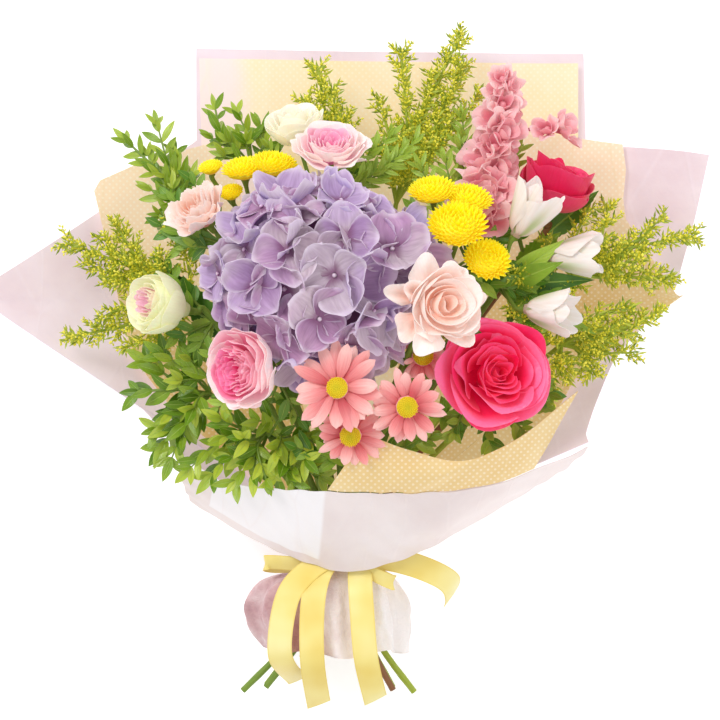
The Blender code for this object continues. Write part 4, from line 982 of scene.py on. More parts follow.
for node, paths in TAILS.items():
    grown = Grown(node)
    grown.put(knot(KNOT_LEFT if "left" in node else KNOT_RIGHT))
    *tails, loop = paths
    for k, path in enumerate(tails):
        side = STEEP_ACROSS if "right" in node and k == 1 else ACROSS
        grown.put(strip(path, 64, TAIL_WIDTH, side, TAIL_SLANT))
    grown.put(strip(loop, 64, LOOP_WIDTH, ALONG_BAND))
    grown.piece("ribbon_yellow", RIBBON, FIRM_CREASE)

# %% [markdown]
# ## Where the stems run
# The stems are packed like pencils at the tie and open evenly above and below, so no two cross. Each is given
# the place in the bundle that leans most nearly its own way, by swapping pairs until no swap helps. The same
# small search ran for the solids, so the fine stems follow them exactly.

# %% Stem routes
TARGETS = {"hydrangea_stem": (-27, 46, 76), "snapdragon_stem": (80, 78, 76)}
for stem, head in SINGLES.items():
    TARGETS[stem] = HEADS[head]["b"] - HEADS[head]["f"] * 16
for stem, (junction, _) in list(SPRAYS.items()) + list(FRONDS.items()):
    TARGETS[stem] = junction


def lattice(count):
    """Places of a packed bundle, from its middle outward."""
    spots = [(STEM_PITCH * (i + 0.5 * (j % 2)), STEM_PITCH * 0.866 * j)
             for i in range(-5, 6) for j in range(-5, 6)]
    spots.sort(key=lambda s: ((s[0] - 1.2) ** 2 + (s[1] - 0.8) ** 2))
    return [np.array(s) - np.mean(spots[:count], axis=0) for s in spots[:count]]


def leaning(order, spots, names):
    """How well the places of the stems agree with the ways that they lean."""
    total = 0.0
    for name, k in zip(names, order):
        t = np.array(TARGETS[name], float)
        o = spots[k]
        s = (np.array([t[0] - TIE[0], t[2] - TIE[2]]) - o) / (t[1] - TIE[1]) ** RAMP
        total += float(np.dot(o, s))
    return total


def bundle():
    """Each stem's place in the bundle, found by swapping pairs until no swap helps."""
    names = sorted(TARGETS)
    spots = lattice(len(names))
    order = list(range(len(names)))
    better = True
    while better:
        better = False
        for i in range(len(order)):
            for j in range(i):
                now = leaning(order, spots, names)
                order[i], order[j] = order[j], order[i]
                if leaning(order, spots, names) <= now + 1e-12:
                    order[i], order[j] = order[j], order[i]
                else:
                    better = True
    return {name: spots[k] for name, k in zip(names, order)}


SPOT = bundle()


def stem_path(name):
    """Points of a main stem from its cut end up to its target."""
    o, t = SPOT[name], np.array(TARGETS[name], float)
    length = FAN_END * (0.56 + 0.44 * smooth(abs(o[0]), 3, 9))
    out = []
    for y in (length, length * 0.6, 14.0):
        v = y / FAN_END
        out.append((TIE[0] + o[0] * (1 + 4.6 * v * v) - 12 * v, TIE[1] - y,
                    TIE[2] + o[1] * (1 + 0.25 * v) - 12 * v))
    for u in (k / STEM_STEPS for k in range(STEM_STEPS + 1)):
        y = 6 + (t[1] - TIE[1] - 6) * u
        g = (y / (t[1] - TIE[1])) ** RAMP
        out.append((TIE[0] + o[0] + (t[0] - TIE[0] - o[0]) * g, TIE[1] + y,
                    TIE[2] + o[1] + (t[2] - TIE[2] - o[1]) * g))
    return [np.array(p) for p in out]


print("stems in the bundle:", len(SPOT))

# %% [markdown]
# ## Leaves
# A leaf is a curved skin with a pointed tip, folded a little along its midrib. One function grows them all,
# from the broad rose leaf to the narrow blade of the lily: its width follows a sine, pushed towards the foot
# or the tip.

# %% Leaf shape and leaf finish
LEAF_THICK = 0.45


def leaf(base, along, up, length, width, bend, fold, belly=0.9, teeth=0, thick=LEAF_THICK, nu=7, nv=11,
         twist=0.0, full=1.0, taper=0.35):
    """One pointed leaf or narrow petal from its base; belly moves its widest place, full makes it blunter."""
    along = unit(along)
    up = unit(np.asarray(up, float) - along * np.dot(up, along))
    side = np.cross(along, up)
    u, v = grid(nu, nv)
    swell = np.maximum(np.sin(math.pi * v ** belly), 0) ** full * 0.97 + 0.03
    half = 0.5 * width * swell * (1 - taper * v ** 3)
    half = half * (1 + (0.10 * np.sin(2 * math.pi * teeth * v) if teeth else 0.0))
    x = half * u
    lift = fold * width * np.abs(u) ** 1.3 * np.sin(math.pi * v) + bend * length * v * v + twist * x * v
    points = (np.asarray(base, float) + along * (length * v)[..., None] + side * x[..., None]
              + up * lift[..., None])
    return skin(points, thick, 0.5, back_first=False)


def leaf_finish(name, young, main, dark, rib="#a9c659", gloss=0.34):
    """Green skin with a paler midrib and side veins; the mark called ring is 1 on the woody or green stem."""
    made = Finish(name, (0.12, (0.001, 0.002, 0.0005)))
    along, across, tone = made.mark("along"), made.mark("across"), made.mark("tone")
    stem = made.mark("ring")
    cloud = made.cloud(85.0, 2.0)
    # The tone runs from dark through main to young green; on twig leaves it also carries painted shade, darker
    # lower in the bouquet.
    colour = made.ramp(tone * 0.75 + cloud * 0.3, (0.15, dark), (0.5, main), (0.9, young))
    midrib = 1 - made.ease(across.size(), 0.03, 0.12)
    veins = ((along * 11.0 - across.size() * 2.4) * 6.2832).sine()
    colour = made.blend(midrib * 0.7, colour, rib)
    colour = made.blend(made.mark("back") * 0.45, colour, rib)
    bark = made.cloud(300.0, 3.0, made.spot(across * 0.02, along * 0.1, tone))
    stalk = made.blend(bark, "#55781f", "#8ba23c")
    stalk = made.blend(made.ease(tone, 0.8, 0.95), stalk, "#8a5a34")
    colour = made.blend(stem, colour, stalk)
    height = (1 - stem) * (midrib * -0.7 + veins * 0.12) + made.cloud(500.0, 1.0) * 0.25
    rough = gloss + 0.2 * stem + 0.25 * made.mark("back") + 0.12 * (cloud - 0.5)
    # glow: painted light, a faint emission that lifts the shade on leaves and stems
    return made.done(colour, height, 0.0004, rough, glow=0.03)


STEM_GREEN = leaf_finish("stems_and_broad_leaves", "#a3bf42", "#5a8a20", "#2f5a10")
SPRAY_GREEN = leaf_finish("box_leaves", "#bccb44", "#6c9119", "#32520a", gloss=0.24)
print("leaf finishes:", STEM_GREEN.name, "and", SPRAY_GREEN.name)

# %% [markdown]
# ## Twigs
# Sprays and the small side shoots of the flower stems are built alike: a thin limb on a bent axis, with pairs
# of oval leaves, each pair turned from the last. Every leaf is tried for room before it is kept.

# %% Twigs with oval leaves
def frond_axis(start, tip, back, rng):
    """Bent axis of a twig that stops a little short of its tip."""
    start, tip = np.asarray(start, float), np.asarray(tip, float)
    tip = tip - unit(tip - start) * back
    mid = (start + tip) / 2 + np.array([rng.uniform(-6, 6), rng.uniform(-6, 6), rng.uniform(0, 5)])
    return [start, mid, tip]


def limb_of(axis, sizes=(1.5, 1.1, 0.7)):
    """Thin limb, with its radius at the foot, in the middle and at the tip."""
    steps = np.linspace(0, 1, 12)
    return tube([spline(axis, t) for t in steps], np.interp(steps, (0, 0.5, 1), sizes), 7)


def ahead_of(axis, t):
    """The way that an axis runs at one of its points."""
    return unit(spline(axis, min(1.0, t + 0.05)) - spline(axis, max(0.0, t - 0.05)))


def twig_of_leaves(grown, axis, long, spacing, fine, first=0.08, slim=0.46, pale=0.0):
    """Pairs of oval leaves along a twig, each pair turned from the last."""
    length = np.linalg.norm(axis[2] - axis[0])
    pairs = max(2, int(length / spacing))
    for k in range(pairs):
        t = first + (1 - first) * (k + 1) / pairs
        p, ahead = spline(axis, t), ahead_of(axis, t)
        across = unit(np.cross(ahead, (0, 0, 1)))
        over = unit(np.cross(across, ahead))
        sideways = across * math.cos(0.9 * k) + over * math.sin(0.9 * k) * 0.8
        for s in ((-1, 1) if k < pairs - 1 else (-1, 0, 1)):
            way = ahead * 0.8 + sideways * s * 0.8 + np.array([0, 0, 0.3 * fine.uniform(-0.5, 1)])
            up = np.array([0, 0, 1.0]) + sideways * s * -0.25 + ahead * fine.uniform(-0.4, 0.4)
            size = fine.uniform(0.75, 1.1) * (1.0 if t < 0.8 else 0.8)
            bend = fine.uniform(-0.25, 0.05)
            # Painted shade: leaves that sit lower, deeper in the bouquet, get a darker tone; pale lifts the
            # tone of a whole twig.
            lit = 0.55 + 0.45 * float(smooth(p[2], 55, 118))
            tone = pale + lit * min(1.0, 0.35 * t + 0.8 * fine.random())
            grown.grow(lambda q: leaf(p, way, up, long * size * q, long * slim * size * q, bend, 0.16, 0.95,
                                      nu=5, nv=8, full=0.8, taper=0.15), 0.0, tone, (1.0, 0.8, 0.65))


print("faces of a twig's limb:", len(limb_of([(0, 0, 0), (0, 20, 0), (0, 40, 0)])[1]))

# %% [markdown]
# ## Leaves and sprigs of the stems
# Broad leaves and small leafy sprigs grow from the stems into the gaps between blooms. Each broad leaf has
# its place along the stem, its tip, its width and sometimes its tone, and each sprig its place and its tip.
# They are listed one by one, because a rule would put them over the blooms.

# %% Places of leaves and sprigs
STEM_LEAVES = {
    "rose_low_stem": [
        (0.95, (128, -33, 98), 22, 0.9), (0.8, (66, -46, 110), 18), (0.97, (112, 26, 92), 20)],
    "rose_top_stem": [(0.97, (158, 112, 66), 17), (0.85, (132, 84, 72), 18), (0.8, (84, 112, 66), 16)],
    "garden_rose_low_stem": [(0.97, (-96, -24, 112), 17), (0.85, (-42, -30, 118), 17)],
    "garden_rose_left_stem": [(0.97, (-112, 8, 92), 17), (0.85, (-128, 62, 78), 18)],
    "carnation_right_stem": [(0.97, (78, 16, 132), 13)],
    "carnation_left_stem": [(0.97, (-132, 84, 88), 14)],
    "hydrangea_stem": [(0.9, (20, 26, 88), 30), (0.9, (-76, 28, 88), 30)],
    "alstroemeria_stem": [
        (0.97, (143, 86, 116), 19, 1.0), (0.97, (128, 62, 118), 15, 0.7), (0.99, (152, 52, 94), 14),
        (0.97, (160, 13, 104), 18, 0.8), (0.9, (130, -8, 106), 22, 0.1)],
    "pompon_right_stem": [(0.97, (34, 84, 108), 16), (0.97, (92, 52, 104), 16)],
    "pompon_left_stem": [(0.97, (-92, 96, 72), 14)],
    "daisy_stem": [(0.95, (26, -66, 122), 13), (0.95, (-26, -58, 124), 13)],
    "snapdragon_stem": [(0.95, (62, 118, 76), 13), (0.95, (104, 118, 78), 13)],
    "garden_rose_top_stem": [(0.97, (4, 128, 76), 16), (0.97, (-60, 120, 66), 15)],
}
SPRIGS = {
    "rose_low_stem": [
        (0.86, (60, -46, 112)), (0.9, (84, -54, 106)), (0.95, (106, -46, 102)), (0.96, (122, -22, 98)),
        (0.8, (48, -34, 114))],
    "daisy_stem": [
        (0.9, (30, -58, 116)), (0.95, (44, -50, 118)), (0.92, (-24, -40, 118)), (0.9, (-40, -56, 116))],
    "carnation_right_stem": [
        (0.75, (36, -6, 112)), (0.8, (54, 8, 106)), (0.86, (60, 26, 106)), (0.9, (72, 36, 112)),
        (0.8, (20, 4, 112))],
    "pompon_right_stem": [
        (0.97, (92, 80, 92)), (0.97, (96, 62, 96)), (0.9, (36, 96, 92)), (0.97, (84, 96, 88)),
        (0.97, (104, 44, 96))],
    "rose_top_stem": [
        (0.9, (100, 98, 78)), (0.95, (122, 96, 70)), (0.9, (88, 126, 64)), (0.97, (146, 118, 62))],
    "snapdragon_stem": [
        (0.9, (56, 132, 72)), (0.95, (66, 142, 66)), (0.9, (40, 126, 78)), (0.97, (104, 138, 64)),
        (0.97, (68, 160, 62))],
    "garden_rose_top_stem": [
        (0.97, (14, 124, 84)), (0.97, (28, 134, 76)), (0.97, (2, 138, 72)), (0.97, (20, 148, 66)),
        (0.9, (36, 144, 68)), (0.9, (-60, 140, 66))],
    "garden_rose_left_stem": [
        (0.95, (-128, 60, 78)), (0.95, (-134, 48, 80)), (0.95, (-104, 8, 96)), (0.95, (-118, 14, 92))],
    "carnation_left_stem": [
        (0.95, (-116, 74, 84)), (0.95, (-124, 106, 74)), (0.95, (-110, 118, 74)), (0.97, (-130, 88, 78))],
    "garden_rose_low_stem": [
        (0.9, (-56, -24, 112)), (0.9, (-40, -36, 114)), (0.95, (-94, 2, 104)), (0.95, (-90, -30, 112))],
    "alstroemeria_stem": [(0.97, (116, 56, 92)), (0.97, (124, 40, 92)), (0.97, (112, 20, 100))],
}
TOOTHED = ("rose_low_stem", "rose_top_stem", "garden_rose_low_stem", "garden_rose_left_stem",
           "garden_rose_top_stem", "hydrangea_stem")
WOODY = ("rose_low_stem", "rose_top_stem")
NEEDLED = ("garden_rose_top_stem", "snapdragon_stem")
print("broad leaves:", sum(map(len, STEM_LEAVES.values())), "sprigs:", sum(map(len, SPRIGS.values())))

# %% [markdown]
# ## Round stems
# Round stems taper a little towards the bloom, swell at their joints and end in a cup that the petals sit on.
# Each is one tube along a smooth path, with its own radius at each point, so neck and cup need no parts of
# their own. The rose stems get a few thorns, which are small hooked cones.

# %% Round stems, necks and thorns
THORNS, THORN = 9, [(0, -1.0), (0.9, 0.2), (0.5, 1.2), (0, 2.6)]
CUP_R = 4.0


def round_stem(path, radii, sides=12, knuckles=0):
    """Smooth stem through a few points, with faint swellings where leaves once grew."""
    n = max(12, 5 * len(path))
    steps = np.linspace(0, 1, n)
    points = [spline(path, t) for t in steps]
    wide = np.interp(steps, np.linspace(0, 1, len(radii)), radii)
    if knuckles:
        wide = wide * (1 + 0.10 * np.maximum(0, np.sin(2 * math.pi * knuckles * steps)) ** 8)
    return tube(points, wide, sides)


def neck(path, head):
    """A stem's points and radii, with the neck that widens into the cup of its bloom."""
    b, f = head["b"], head["f"]
    path = list(path) + [b - f * 8, b - f * 3.5, b - f * GAP]
    return path, [STEM_R] * (len(path) - 2) + [STEM_R * 1.15, CUP_R]


def branch(a, head, r, cup):
    """Side stem from a junction to the cup of a head."""
    a = np.asarray(a, float)
    b, f = head["b"], head["f"]
    end = b - f * 9
    mid = (a + end) / 2 + (end - a)[1] * np.array([0, -0.04, -0.105])
    return round_stem([a, mid, b - f * 6, b - f * (GAP + 0.15)], [r, r, r * 1.1, cup * 0.92], 10)


def thorns(path, seed):
    """Small hooked cones spread over the lower half of a rose stem."""
    rng = random.Random(seed)
    made = []
    for k in range(THORNS):
        t = 0.05 + 0.45 * (k + rng.random()) / THORNS
        p, q = spline(path, t), spline(path, t + 0.01)
        axes = turned(q - p, rng.random() * ANY_TURN)
        out, hooked = axes[:, 0], turned(axes[:, 0] - axes[:, 2] * 0.3)
        made.append(turned_solid(THORN, 5, p + out * STEM_R * 0.8, hooked))
    return made


print("thorns on a rose stem:", len(thorns(stem_path("rose_low_stem"), 0)))

# %% [markdown]
# ## Stems with their leaves
# Each stem is put together from its round parts, its thorns, its broad leaves and its sprigs. A sprig is
# tried at three heights, and dropped if none of them has room.

# %% Stems
def stem_shells(name):
    """The round parts of a stem: its main run, its neck or its side stems."""
    if name in SINGLES:
        path, radii = neck(stem_path(name), HEADS[SINGLES[name]])
        return [round_stem(path, radii, 14, 4)]
    path = stem_path(name)
    if name in SPRAYS:
        junction, heads = SPRAYS[name]
        shells = [round_stem(path, [STEM_R] * (len(path) - 1) + [STEM_R * 0.9], 14, 4)]
        for h in heads:
            r = HEADS[h]["r"]
            shells.append(branch(junction, HEADS[h], 1.3 if r < 20 else 1.6, 2.4 if r < 10 else 3.6))
        return shells
    if name == "snapdragon_stem":
        rise = unit(spline(SPIRE, 0.01) - spline(SPIRE, 0.0))
        path += [np.array(SPIRE[0]) - rise * 6, np.array(SPIRE[0]) - rise * 1.1 * GAP]
        return [round_stem(path, [STEM_R] * (len(path) - 1) + [2.6], 14, 3)]
    path += [np.array([-28, 50, 79.0]), np.array([-28, 51.5, 82.6])]
    return [round_stem(path, [2.3] * (len(path) - 1) + [4.2], 14, 3)]


for number, stem in enumerate(list(SINGLES) + list(SPRAYS) + ["snapdragon_stem", "hydrangea_stem"]):
    grown = Grown(stem)
    rng = random.Random(300 + number)
    bark_tone = 0.95 if stem in WOODY else rng.uniform(0.2, 0.7)
    for shell in stem_shells(stem):
        grown.put(shell, 1.0, bark_tone)
    path = stem_path(stem)
    if "rose" in stem:
        for shell in thorns(path, number):
            grown.put(shell, 1.0, 0.9)
    for t, tip, width, *shade in STEM_LEAVES.get(stem, []):
        p = spline(path[3:], t)
        way = np.array(tip, float) - p
        far = float(np.linalg.norm(way))
        teeth = 13 if stem in TOOTHED else 0
        grown.grow(lambda size: leaf(p, way, (0, 0, 1), far * size, width * size, -0.05, 0.10, teeth=teeth,
                                     nu=9, nv=30 if teeth else 16), 0.0, (shade or [rng.random()])[0])
    sprigs = random.Random(600 + number)
    spacing, slim, pale = (6.0, 0.27, 0.75) if stem in NEEDLED else (7.0, 0.42, 0.1)
    for t, tip in SPRIGS.get(stem, []):
        start = spline(path[3:], t)
        tip = np.array(tip, float)
        for rise in (5.0, -6.0, 14.0):
            axis = [start, (start + tip) / 2 + np.array([0, 0, rise]), tip]
            limb = limb_of(axis, (1.2, 0.9, 0.5))
            if clear(limb, grown.nodes):
                grown.put(limb, 1.0, 0.5)
                twig_of_leaves(grown, axis, 15.0, spacing, sprigs, 0.25, slim, pale)
                break
        else:
            grown.dropped += 1
    grown.piece("stem_green", STEM_GREEN, FIRM_CREASE)

# %% [markdown]
# ## Petals that cup
# A rose petal rises from the foot of the bloom, leans out, and rolls back at its rim. In the bloom's own
# frame its middle surface is a short formula in two values: across the petal, and along it. The petals stand
# in rows; inner rows are narrow and steep, outer ones broad and open. The rows of the solid are repeated from
# the same seed, and extra rows fill the space between them, as a real bloom has many more petals than a
# simple solid can carry.

# %% Cupped petal and bloom
def cupped(angle, width, r, h, open_deg, base_r, base_h, curl=0.0, round_=0.22, slant=0.07, ruffle=0.0,
           waves=2.0, nu=15, nv=12, teeth=0.0, peak=0.0, roll=0.0, crumple=0.0, frill=0.0):
    """Middle surface of one petal of a cupped bloom, in the bloom's own frame."""
    u, v = grid(nu, nv)
    top = math.radians(open_deg)
    jag = teeth * (np.arange(nu)[:, None] % 2) * v ** 3
    vv = v * (1 - round_ * u * u) * (1 - jag) + peak * np.exp(-(u / 0.3) ** 2) * v ** 8
    lean = np.sin(top * vv) / math.sin(top)
    rise = (1 - np.cos(top * vv)) / (1 - math.cos(top))
    rim = np.maximum(vv, 0) ** 14
    rho = base_r + (r - base_r) * lean * (1 + slant * u) + curl * r * vv ** 6 + roll * r * rim
    z = base_h + (h - base_h) * rise - 0.5 * curl * r * vv ** 6 - roll * r * 0.9 * rim
    z = z + ruffle * r * np.sin(waves * math.pi * u + angle) * vv * vv
    z = z + crumple * r * np.sin(5.1 * u + 3 * angle) * np.sin(4.3 * vv + angle) * vv
    rho = rho + 0.6 * crumple * r * np.sin(3.7 * u - 2 * angle) * vv
    rho = rho + frill * r * np.sin(waves * math.pi * u + 5 * angle) * vv ** 3
    a = angle + math.radians(width) / 2 * u * (0.42 + 0.58 * np.minimum(1.0, vv * 1.6))
    return np.stack([rho * np.cos(a), rho * np.sin(a), np.maximum(z, 0.5)], axis=-1)


def bloom(name, slot, finish, rows, more_rows, core, seed, wild=0.0, sway=(0, 0, 0), toward=(0, 0, 0),
          **shape):
    """Rows of petals (count, reach, height, opening, width, curl, own shape) round a small core.

    Inner rows sway to one side at their tips; outer petals stand taller toward one side.
    """
    rng, fine = random.Random(seed), random.Random(seed + 1000)
    head = HEADS[name]
    b, f, r, h = head["b"], head["f"], head["r"], head["h"]
    axes = turned(f, rng.random() * ANY_TURN)
    core_r, core_h, core_ring = core
    grown = Grown(name + "_bloom")
    profile = [(0, 0), (min(4.2, r * 0.3), 0.0), (core_r * r * 0.9, core_h * h * 0.5),
               (core_r * r * 0.62, core_h * h * 0.9), (0, core_h * h)]
    grown.put(turned_solid(profile, 24, b, axes), core_ring, 0.3)

    def petal(a, width, reach_, height, opening, curl, out, size, own):
        foot_r, foot_h = core_r * r * (0.42 + 0.16 * out), core_h * h * (0.8 - 0.42 * out)
        foot_r = min(foot_r, reach_ * r * 0.7)
        height *= 1 + float(np.dot(axes @ spoke(a), toward)) * reach_
        mid = cupped(a, width, r * reach_ * size, h * height * size, opening, foot_r, foot_h, curl=curl,
                     **{**shape, **(own[0] if own else {})})
        return skin(placed(mid, b, axes) + np.array(sway) * (mid[..., 2:] / h) * (1 - reach_ ** 4))

    def grow_row(row, draw, jitter, vary, wider=1.0, out=None):
        n, reach_, height, opening, width, curl, *own = row
        turn = draw.random() * ANY_TURN
        for k in range(n):
            a = turn + 2 * math.pi * (k + jitter * (draw.random() - 0.5)) / n
            size = 1 + vary * (draw.random() - 0.5)
            more, less = 1 + wild * fine.uniform(-1, 1), 1 + 0.5 * wild * fine.uniform(-1, 1)
            grown.grow(lambda s: petal(a, width * wider * more, reach_, height * less, opening, curl,
                                       reach_ if out is None else out, size * s, own), reach_, fine.random())

    for q, row in enumerate(rows):
        grow_row(row, rng, 0.12, 0.05, 1.08, q / max(1, len(rows) - 1))
    for row in more_rows:
        grow_row(row, fine, 0.25 + 2 * wild, 0.07)
    grown.piece(slot, finish)


print("points of a cupped petal:", cupped(0.0, 60, 30, 20, 90, 5, 4).shape[:2])

# %% [markdown]
# ## Petal finish
# Real petals are never one colour: they fade from foot to rim, differ from front to back and from the heart
# of the bloom to its outer rows, and carry fine veins that run lengthwise. On the roses, pompons and
# carnations the dark feet are partly painted shade deep in the bloom and the pale rims partly a painted
# highlight. One function paints them all. It takes the colours of foot, middle and rim for the heart of the
# bloom and for its outer rows, then adds veins and clouds. The two crimson roses get the first of these
# finishes, one brighter and one deeper.

# %% Petal materials
def petal_finish(name, heart, outer, back, turn=(0.25, 0.75), back_share=0.35, veins=0.25, rough=0.5,
                 soft=0.22, vein_lanes=16.0, scatter=(0.003, 0.0015, 0.0012), patch=None, spot=None,
                 glow=0.12, reach_=(0.05, 0.5, 0.95), stripe=None, rim=None, tones=0.18):
    """Colours of foot, middle and rim for the heart and for the outer rows, and one for the backs.

    turn is where heart gives way to outer rows, reach_ where foot, middle and rim lie along a petal.
    """
    made = Finish(name, (soft, scatter), Sheen_Weight=0.12, Specular_IOR_Level=0.35)
    along, across, tone, ring_ = (made.mark(m) for m in ("along", "across", "tone", "ring"))
    cloud = made.cloud(70.0, 3.0)
    place = along + 0.30 * (cloud - 0.5) + tones * (tone - 0.5)
    inner, outside = (made.ramp(place, *zip(reach_, colours)) for colours in (heart, outer))
    colour = made.blend(made.ease(ring_ + 0.12 * (tone - 0.5), turn[0], turn[1]), inner, outside)
    colour = made.blend(made.mark("back") * back_share, colour, back)
    if patch:
        share = made.ease(made.cloud(24.0, 2.0) + 0.35 * (tone - 0.5), 0.50, 0.66)
        colour = made.blend(share * 0.75, colour, patch)
    lane = made.spot(across * vein_lanes + tone * 40.0, along * 2.2, tone * 17.0)
    streak = made.add("TexNoise", {}, {"Vector": lane, "Scale": 1.0, "Detail": 2.0})
    colour = made.blend((streak - 0.35) * veins, colour, heart[0], "MULTIPLY")
    if spot:
        eye = 1 - made.ease(along, spot[1], spot[2])
        colour = made.blend(eye * spot[3], colour, spot[0])
    if stripe:
        middle = 1 - made.ease(across.size() + 0.3 * (streak - 0.5), 0.06, 0.42)
        colour = made.blend(middle * made.ease(1 - along, 0.02, 0.5) * 0.75, colour, stripe)
    if rim:
        outward = along.math("MAXIMUM", across.size(), along)
        edge = made.ease(outward + 0.08 * (streak - 0.5), 0.80, 0.99)
        colour = made.blend(edge * 0.6, colour, rim)
    height = streak * 0.6 + made.cloud(260.0, 2.0) * 0.35
    # glow: painted light, an emission of the petal's colour that lifts the shade inside the bloom
    return made.done(colour, height, 0.00035, rough + 0.15 * (cloud - 0.5), glow)


# Painted light over the roses' own crimson: the dark feet stand for shade deep in the bloom and the pink rims
# for a painted highlight; reach_ crowds the ramp toward the rims, which are what shows.
CRIMSON = petal_finish(
    "crimson_petals", heart=("#cc0036", "#f40c50", "#fd4480"), outer=("#c6043c", "#ef2060", "#fc70a0"),
    back="#f4588a", turn=(0.2, 0.7), back_share=0.45, veins=0.16, rough=0.42, soft=0.2, glow=0.15,
    reach_=(0.35, 0.72, 1.0), tones=0.5)
TOP_CRIMSON = petal_finish(
    "top_crimson_petals", heart=("#a80028", "#d80a48", "#f03c74"), outer=("#a80028", "#dc1450", "#f4447c"),
    back="#d81c54", turn=(0.2, 0.7), back_share=0.6, veins=0.22, rough=0.42, soft=0.2, glow=0.1,
    reach_=(0.2, 0.66, 1.0), tones=0.6)
print("nodes in the crimson finish:", len(CRIMSON.node_tree.nodes))

# %% [markdown]
# ## Two crimson roses
# The large rose faces the camera, so its heart shows: ring inside ring of steep petals, each rim rolled
# outward and painted lighter as a highlight where it catches the light. The second rose is seen from its side
# at the top.

# %% Roses
UNEVEN = dict(crumple=0.13, frill=0.05, slant=0.13, peak=0.05, round_=0.24)
ROSE_SHAPE = dict(peak=0.0, roll=0.09, crumple=0.045, frill=0.016, wild=0.22)


def uneven(*rows):
    """Rows of the heart, whose petals are more crumpled than the outer ones."""
    return [(*row, UNEVEN) for row in rows]


bloom("rose_low", "petal_crimson", CRIMSON,
      uneven((3, 0.30, 0.90, 88, 124, 0.0), (4, 0.64, 0.93, 86, 106, 0.02)) + [(5, 0.92, 0.80, 78, 98, 0.05)],
      uneven((2, 0.09, 0.85, 89, 190, 0), (3, 0.16, 0.87, 89, 150, 0), (3, 0.23, 0.89, 88, 136, 0),
             (4, 0.39, 0.93, 87, 110, 0.01), (4, 0.51, 0.95, 87, 104, 0.01))
      + [(3, 0.77, 0.92, 84, 128, 0.03), (3, 0.86, 0.88, 82, 116, 0.04)],
      core=(0.30, 0.5, 0.0), seed=3, sway=(6, 1, 0), toward=(-0.07, -0.07, 0.0), nu=15, nv=12, round_=0.18,
      **ROSE_SHAPE)
bloom("rose_top", "petal_crimson", TOP_CRIMSON,
      [(3, 0.42, 0.98, 94, 150, 0.0), (5, 0.84, 1.10, 98, 124, 0.0)],
      uneven((2, 0.14, 1.06, 91, 190, 0), (3, 0.24, 1.10, 93, 150, 0), (3, 0.33, 1.10, 94, 140, 0),
             (3, 0.52, 1.12, 97, 130, 0))
      + [(3, 0.62, 1.14, 98, 144, 0.0), (3, 0.73, 1.14, 99, 136, 0.0), (3, 0.96, 0.86, 88, 100, 0.04)],
      core=(0.32, 0.5, 0.0), seed=8, toward=(-0.24, 0.0, 0.22), nu=13, nv=10, round_=0.27, **ROSE_SHAPE)

# %% [markdown]
# ## Garden roses
# These old-fashioned roses are filled with dozens of small crumpled petals inside a few round guard petals.
# The open one has a hot pink heart that pales outward; the bud on the left is cream-green with a pink mouth;
# of the two at the top, one shows its pink face and the other stays cream.

# %% Garden roses
GARDEN = petal_finish(
    "garden_rose_petals", heart=("#b80850", "#e83480", "#f98cb8"), outer=("#ec77a2", "#f8b4c9", "#fff0ee"),
    back="#fad8da", turn=(0.5, 0.92), back_share=0.6, soft=0.25, tones=0.55)
BUD = petal_finish(
    "garden_bud_petals", heart=("#d95f9f", "#f3a3c6", "#f6c3d2"), outer=("#dfe8a4", "#eff0c4", "#f7f5d8"),
    back="#edf0c0", turn=(0.38, 0.52), back_share=0.85, veins=0.2, soft=0.25)
TOP_FACE = petal_finish(
    "top_rose_petals", heart=("#dc5a94", "#ef8ab6", "#f8b6cf"), outer=("#f3b6ca", "#f8d9dc", "#fcf0ea"),
    back="#f9ece2", turn=(0.42, 0.95), back_share=0.85, veins=0.2, soft=0.25, tones=0.4)
CREAM = petal_finish(
    "cream_rose_petals", heart=("#f3d9b8", "#f8ead0", "#fbf4e4"), outer=("#ece6b4", "#f8f2dc", "#fdf9ee"),
    back="#f6f2d6", turn=(0.3, 0.7), back_share=0.6, veins=0.2, soft=0.25)
HEART = [(5, 0.12, 0.78, 88, 84, 0), (6, 0.22, 0.82, 88, 78, 0), (7, 0.32, 0.86, 88, 72, 0),
         (8, 0.42, 0.88, 88, 66, 0), (8, 0.51, 0.90, 88, 66, 0)]
FOLDED = dict(waves=2.5, frill=0.08, crumple=0.10, ruffle=0.05)
GARDEN_SHAPE = dict(roll=0.03, crumple=0.07, nu=13, nv=9, ruffle=0.035, waves=2.3, frill=0.045, wild=0.16)


def folded(*rows):
    """Rows of the heart, whose petals are pleated."""
    return [(*row, FOLDED) for row in rows]


bloom("garden_rose_low", "petal_rose", GARDEN,
      [(4, 0.58, 0.92, 88, 110, 0.0), (6, 1.0, 0.92, 90, 86, 0.0)],
      folded(*HEART)
      + [(4, 0.70, 0.96, 90, 124, 0.0), (4, 0.82, 0.98, 92, 120, 0.0), (4, 0.92, 0.97, 92, 112, 0.0)],
      core=(0.34, 0.5, 0.0), seed=12, sway=(-6, -1, 0), toward=(0.20, 0.06, 0), **GARDEN_SHAPE)
bloom("garden_rose_left", "petal_ivory", BUD,
      [(3, 0.47, 0.98, 95, 130, 0.0), (5, 0.98, 0.92, 100, 92, 0.01)],
      folded((4, 0.10, 1.0, 89, 90, 0), (5, 0.18, 1.02, 89, 84, 0), (6, 0.27, 1.03, 89, 80, 0),
             (7, 0.36, 1.02, 90, 76, 0))
      + [(3, 0.60, 1.0, 98, 140, 0), (4, 0.74, 0.98, 100, 118, 0), (3, 0.87, 0.96, 101, 120, 0.0)],
      core=(0.42, 0.5, 1.0), seed=17, toward=(0.10, 0.0, -0.24), wild=0.16, nu=13, nv=13, roll=0.02,
      crumple=0.05, frill=0.03)
